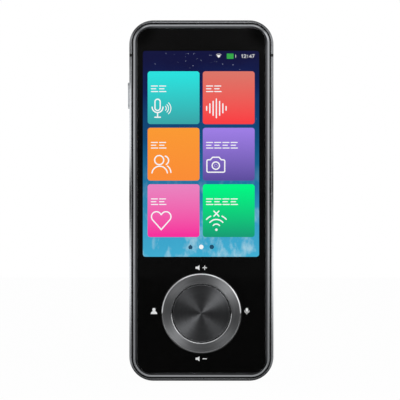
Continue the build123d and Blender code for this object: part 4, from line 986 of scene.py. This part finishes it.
# The room's light: even for the shape, and for mirrors bright behind and beside the object, with a
# lamp up to the right and a dark cloth in front, where the eye is. The depth levels run from beside
# the object to the eye, and the round levels from the right over the top to the left.
depth_levels = (
    (0.0, 0.83), (0.25, 0.7), (0.45, 0.4), (0.6, 0.26),
    (0.9, 0.34), (0.993, 0.5), (0.9975, 0.02), (1.0, 0.02),
)
round_levels = (
    (0.0, 0.5), (0.1, 0.75), (0.19, 0.9), (0.25, 0.45), (0.31, 0.45), (0.39, 0.7),
    (0.5, 0.5), (0.62, 0.6), (0.73, 0.3), (0.8, 0.35), (1.0, 0.5),
)
round_gain = 2.0
even_grey = (0.62, 0.62, 0.62, 1)
white = (1, 1, 1, 1)
room = bpy.data.worlds.new("room")
room.use_nodes = True
bpy.context.scene.world = room
room_tree = room.node_tree
room_rays = room_tree.nodes.new("ShaderNodeLightPath").outputs
room_way = split(room_tree, "ShaderNodeTexCoord", "Generated")
room_front = calculated(room_tree, "MULTIPLY", room_way["Y"], -1.0)
room_bearing = calculated(room_tree, "ARCTAN2", room_way["Z"], room_way["X"])
room_bearing = calculated(room_tree, "DIVIDE", room_bearing, math.pi)
room_round = calculated(room_tree, "MULTIPLY", ramped(room_tree, room_bearing, round_levels), round_gain)
room_level = calculated(room_tree, "MULTIPLY", ramped(room_tree, room_front, depth_levels), room_round)
seen_room = mixed(room_tree, room_rays["Is Glossy Ray"], even_grey, room_level)
seen_room = mixed(room_tree, room_rays["Is Camera Ray"], seen_room, white)
room_tree.links.new(seen_room, room_tree.nodes["Background"].inputs["Color"])


def soft_lamp(name, place, power):
    """A soft square lamp at that place in metres, turned to the object's middle, in watts."""
    lamp_side = 0.3
    object_middle = Vector((0.0, 0.0, 0.065))
    light = bpy.data.lights.new(name, "AREA")
    light.shape = "RECTANGLE"
    light.size = lamp_side
    light.size_y = lamp_side
    light.energy = power
    lamp = bpy.data.objects.new(name, light)
    lamp.location = place
    heading = object_middle - Vector(place)
    lamp.rotation_euler = heading.to_track_quat("-Z", "Y").to_euler()
    bpy.context.scene.collection.objects.link(lamp)


soft_lamp("key_lamp", (0.378, -0.93, 0.351), 2.7)
soft_lamp("fill_lamp", (-0.347, -0.93, 0.372), 1.2)

# Cards close to the edges, which only mirrors see. The side ones are brightest at two heights, and
# the one above is dark. Their levels are (mm, level) from the foot up, or from the left.


def only_mirrored(sheet):
    """Hides a sheet of the stage from all but mirrors."""
    for rays in ("camera", "diffuse", "shadow", "transmission"):
        setattr(sheet, f"visible_{rays}", False)


def edge_card(name, corners, levels, strength, axis="Z"):
    """A card that lights only what mirrors it, with its levels in mm along that axis."""
    finish, tree, shader = lit_finish(f"{name}_light")
    ends = [corner["XYZ".index(axis)] for corner in corners]
    length = (max(ends) - min(ends)) / MM
    along = split(tree, "ShaderNodeTexCoord", "Generated")[axis]
    level = ramped(tree, along, [(place / length, level) for place, level in levels], smooth=True)
    tree.links.new(level, shader.inputs["Emission Color"])
    shader.inputs["Emission Strength"].default_value = strength
    only_mirrored(stage_sheet(name, corners, finish))


card_front = band_low.y
card_back = band_high.y
card_gap = 0.003
card_top = body_top * MM + card_gap
card_x = body_side * MM + card_gap
card_strength = 1.95
left_levels = (
    (0, 0.03), (3, 0.1), (6, 0.34), (10, 0.28), (39, 0.96), (66, 0.03), (88, 0.94),
    (104, 0.8), (109, 0.32), (119, 0.13), (125, 0.3), (129, 0.05), (133, 0.02),
)
right_levels = (
    (0, 0.03), (3, 0.1), (6, 0.26), (10, 0.23), (44, 0.97), (71, 0.03), (88, 0.38),
    (97, 0.24), (108, 0.34), (125, 0.3), (129, 0.05), (133, 0.02),
)
top_levels = ((0, 0.02), (3, 0.02), (7, 0.12), (51, 0.12), (55, 0.02), (58, 0.02))
side_cards = (("card_left", -card_x, left_levels), ("card_right", card_x, right_levels))
card_rim = ((card_front, 0), (card_back, 0), (card_back, card_top), (card_front, card_top))
for card_name, x, card_levels in side_cards:
    edge_card(card_name, [(x, y, z) for y, z in card_rim], card_levels, card_strength)
top_corners = [(-card_x, card_front), (card_x, card_front), (card_x, card_back), (-card_x, card_back)]
edge_card("card_above", [(x, y, card_top) for x, y in top_corners], top_levels, 1.0, axis="X")

# Soft black flags in front of the four corners keep them dark. Each thins out to its edge.
flag_stand_off = 3.0
flag_depth = card_front / MM - flag_stand_off
flag_reach = 8.0
flag_inset = 3.5
flag_x = body_side - flag_inset
flag_top = body_top - flag_inset
for flag_name, flag_middle in (
    ("flag_left_low", (-flag_x, flag_inset)),
    ("flag_left_high", (-flag_x, flag_top)),
    ("flag_right_low", (flag_x, flag_inset)),
    ("flag_right_high", (flag_x, flag_top)),
):
    flag, flag_tree, flag_shader = lit_finish(flag_name)
    flag_shader.inputs["Emission Strength"].default_value = 0.0
    flag_out = calculated(flag_tree, "DIVIDE", distance_from(flag_tree, flag_middle)[0], flag_reach * MM)
    flag_cover = ramped(flag_tree, flag_out, [(0.35, 1.0), (0.95, 0.0)], smooth=True)
    flag_clear = flag_tree.nodes.new("ShaderNodeBsdfTransparent")
    blended(flag_tree, flag_cover, flag_clear.outputs["BSDF"], flag_shader.outputs["BSDF"])
    flag_outline = disc_outline(flag_middle, flag_reach, 32)
    flag_corners = [(x * MM, flag_depth * MM, max(z, 0.0) * MM) for x, z in flag_outline]
    only_mirrored(stage_sheet(flag_name, flag_corners, flag))

# The eye: a long lens straight in front of the display, level with its middle.
eye_distance = 1.2
eye_height = 0.06521
eye_shift = -0.0005
picture_width = 0.14406
sensor_width = 36.0
eye_lens = bpy.data.cameras.new("eye")
eye_lens.sensor_width = sensor_width
eye_lens.lens = sensor_width * eye_distance / picture_width
eye_lens.clip_end = 20.0
eye = bpy.data.objects.new("eye", eye_lens)
eye.location = (eye_shift, glass_low.y - eye_distance, eye_height)
eye.rotation_euler = (math.pi / 2, 0, 0)
bpy.context.scene.collection.objects.link(eye)
bpy.context.scene.camera = eye
bpy.context.scene.view_settings.view_transform = "Standard"
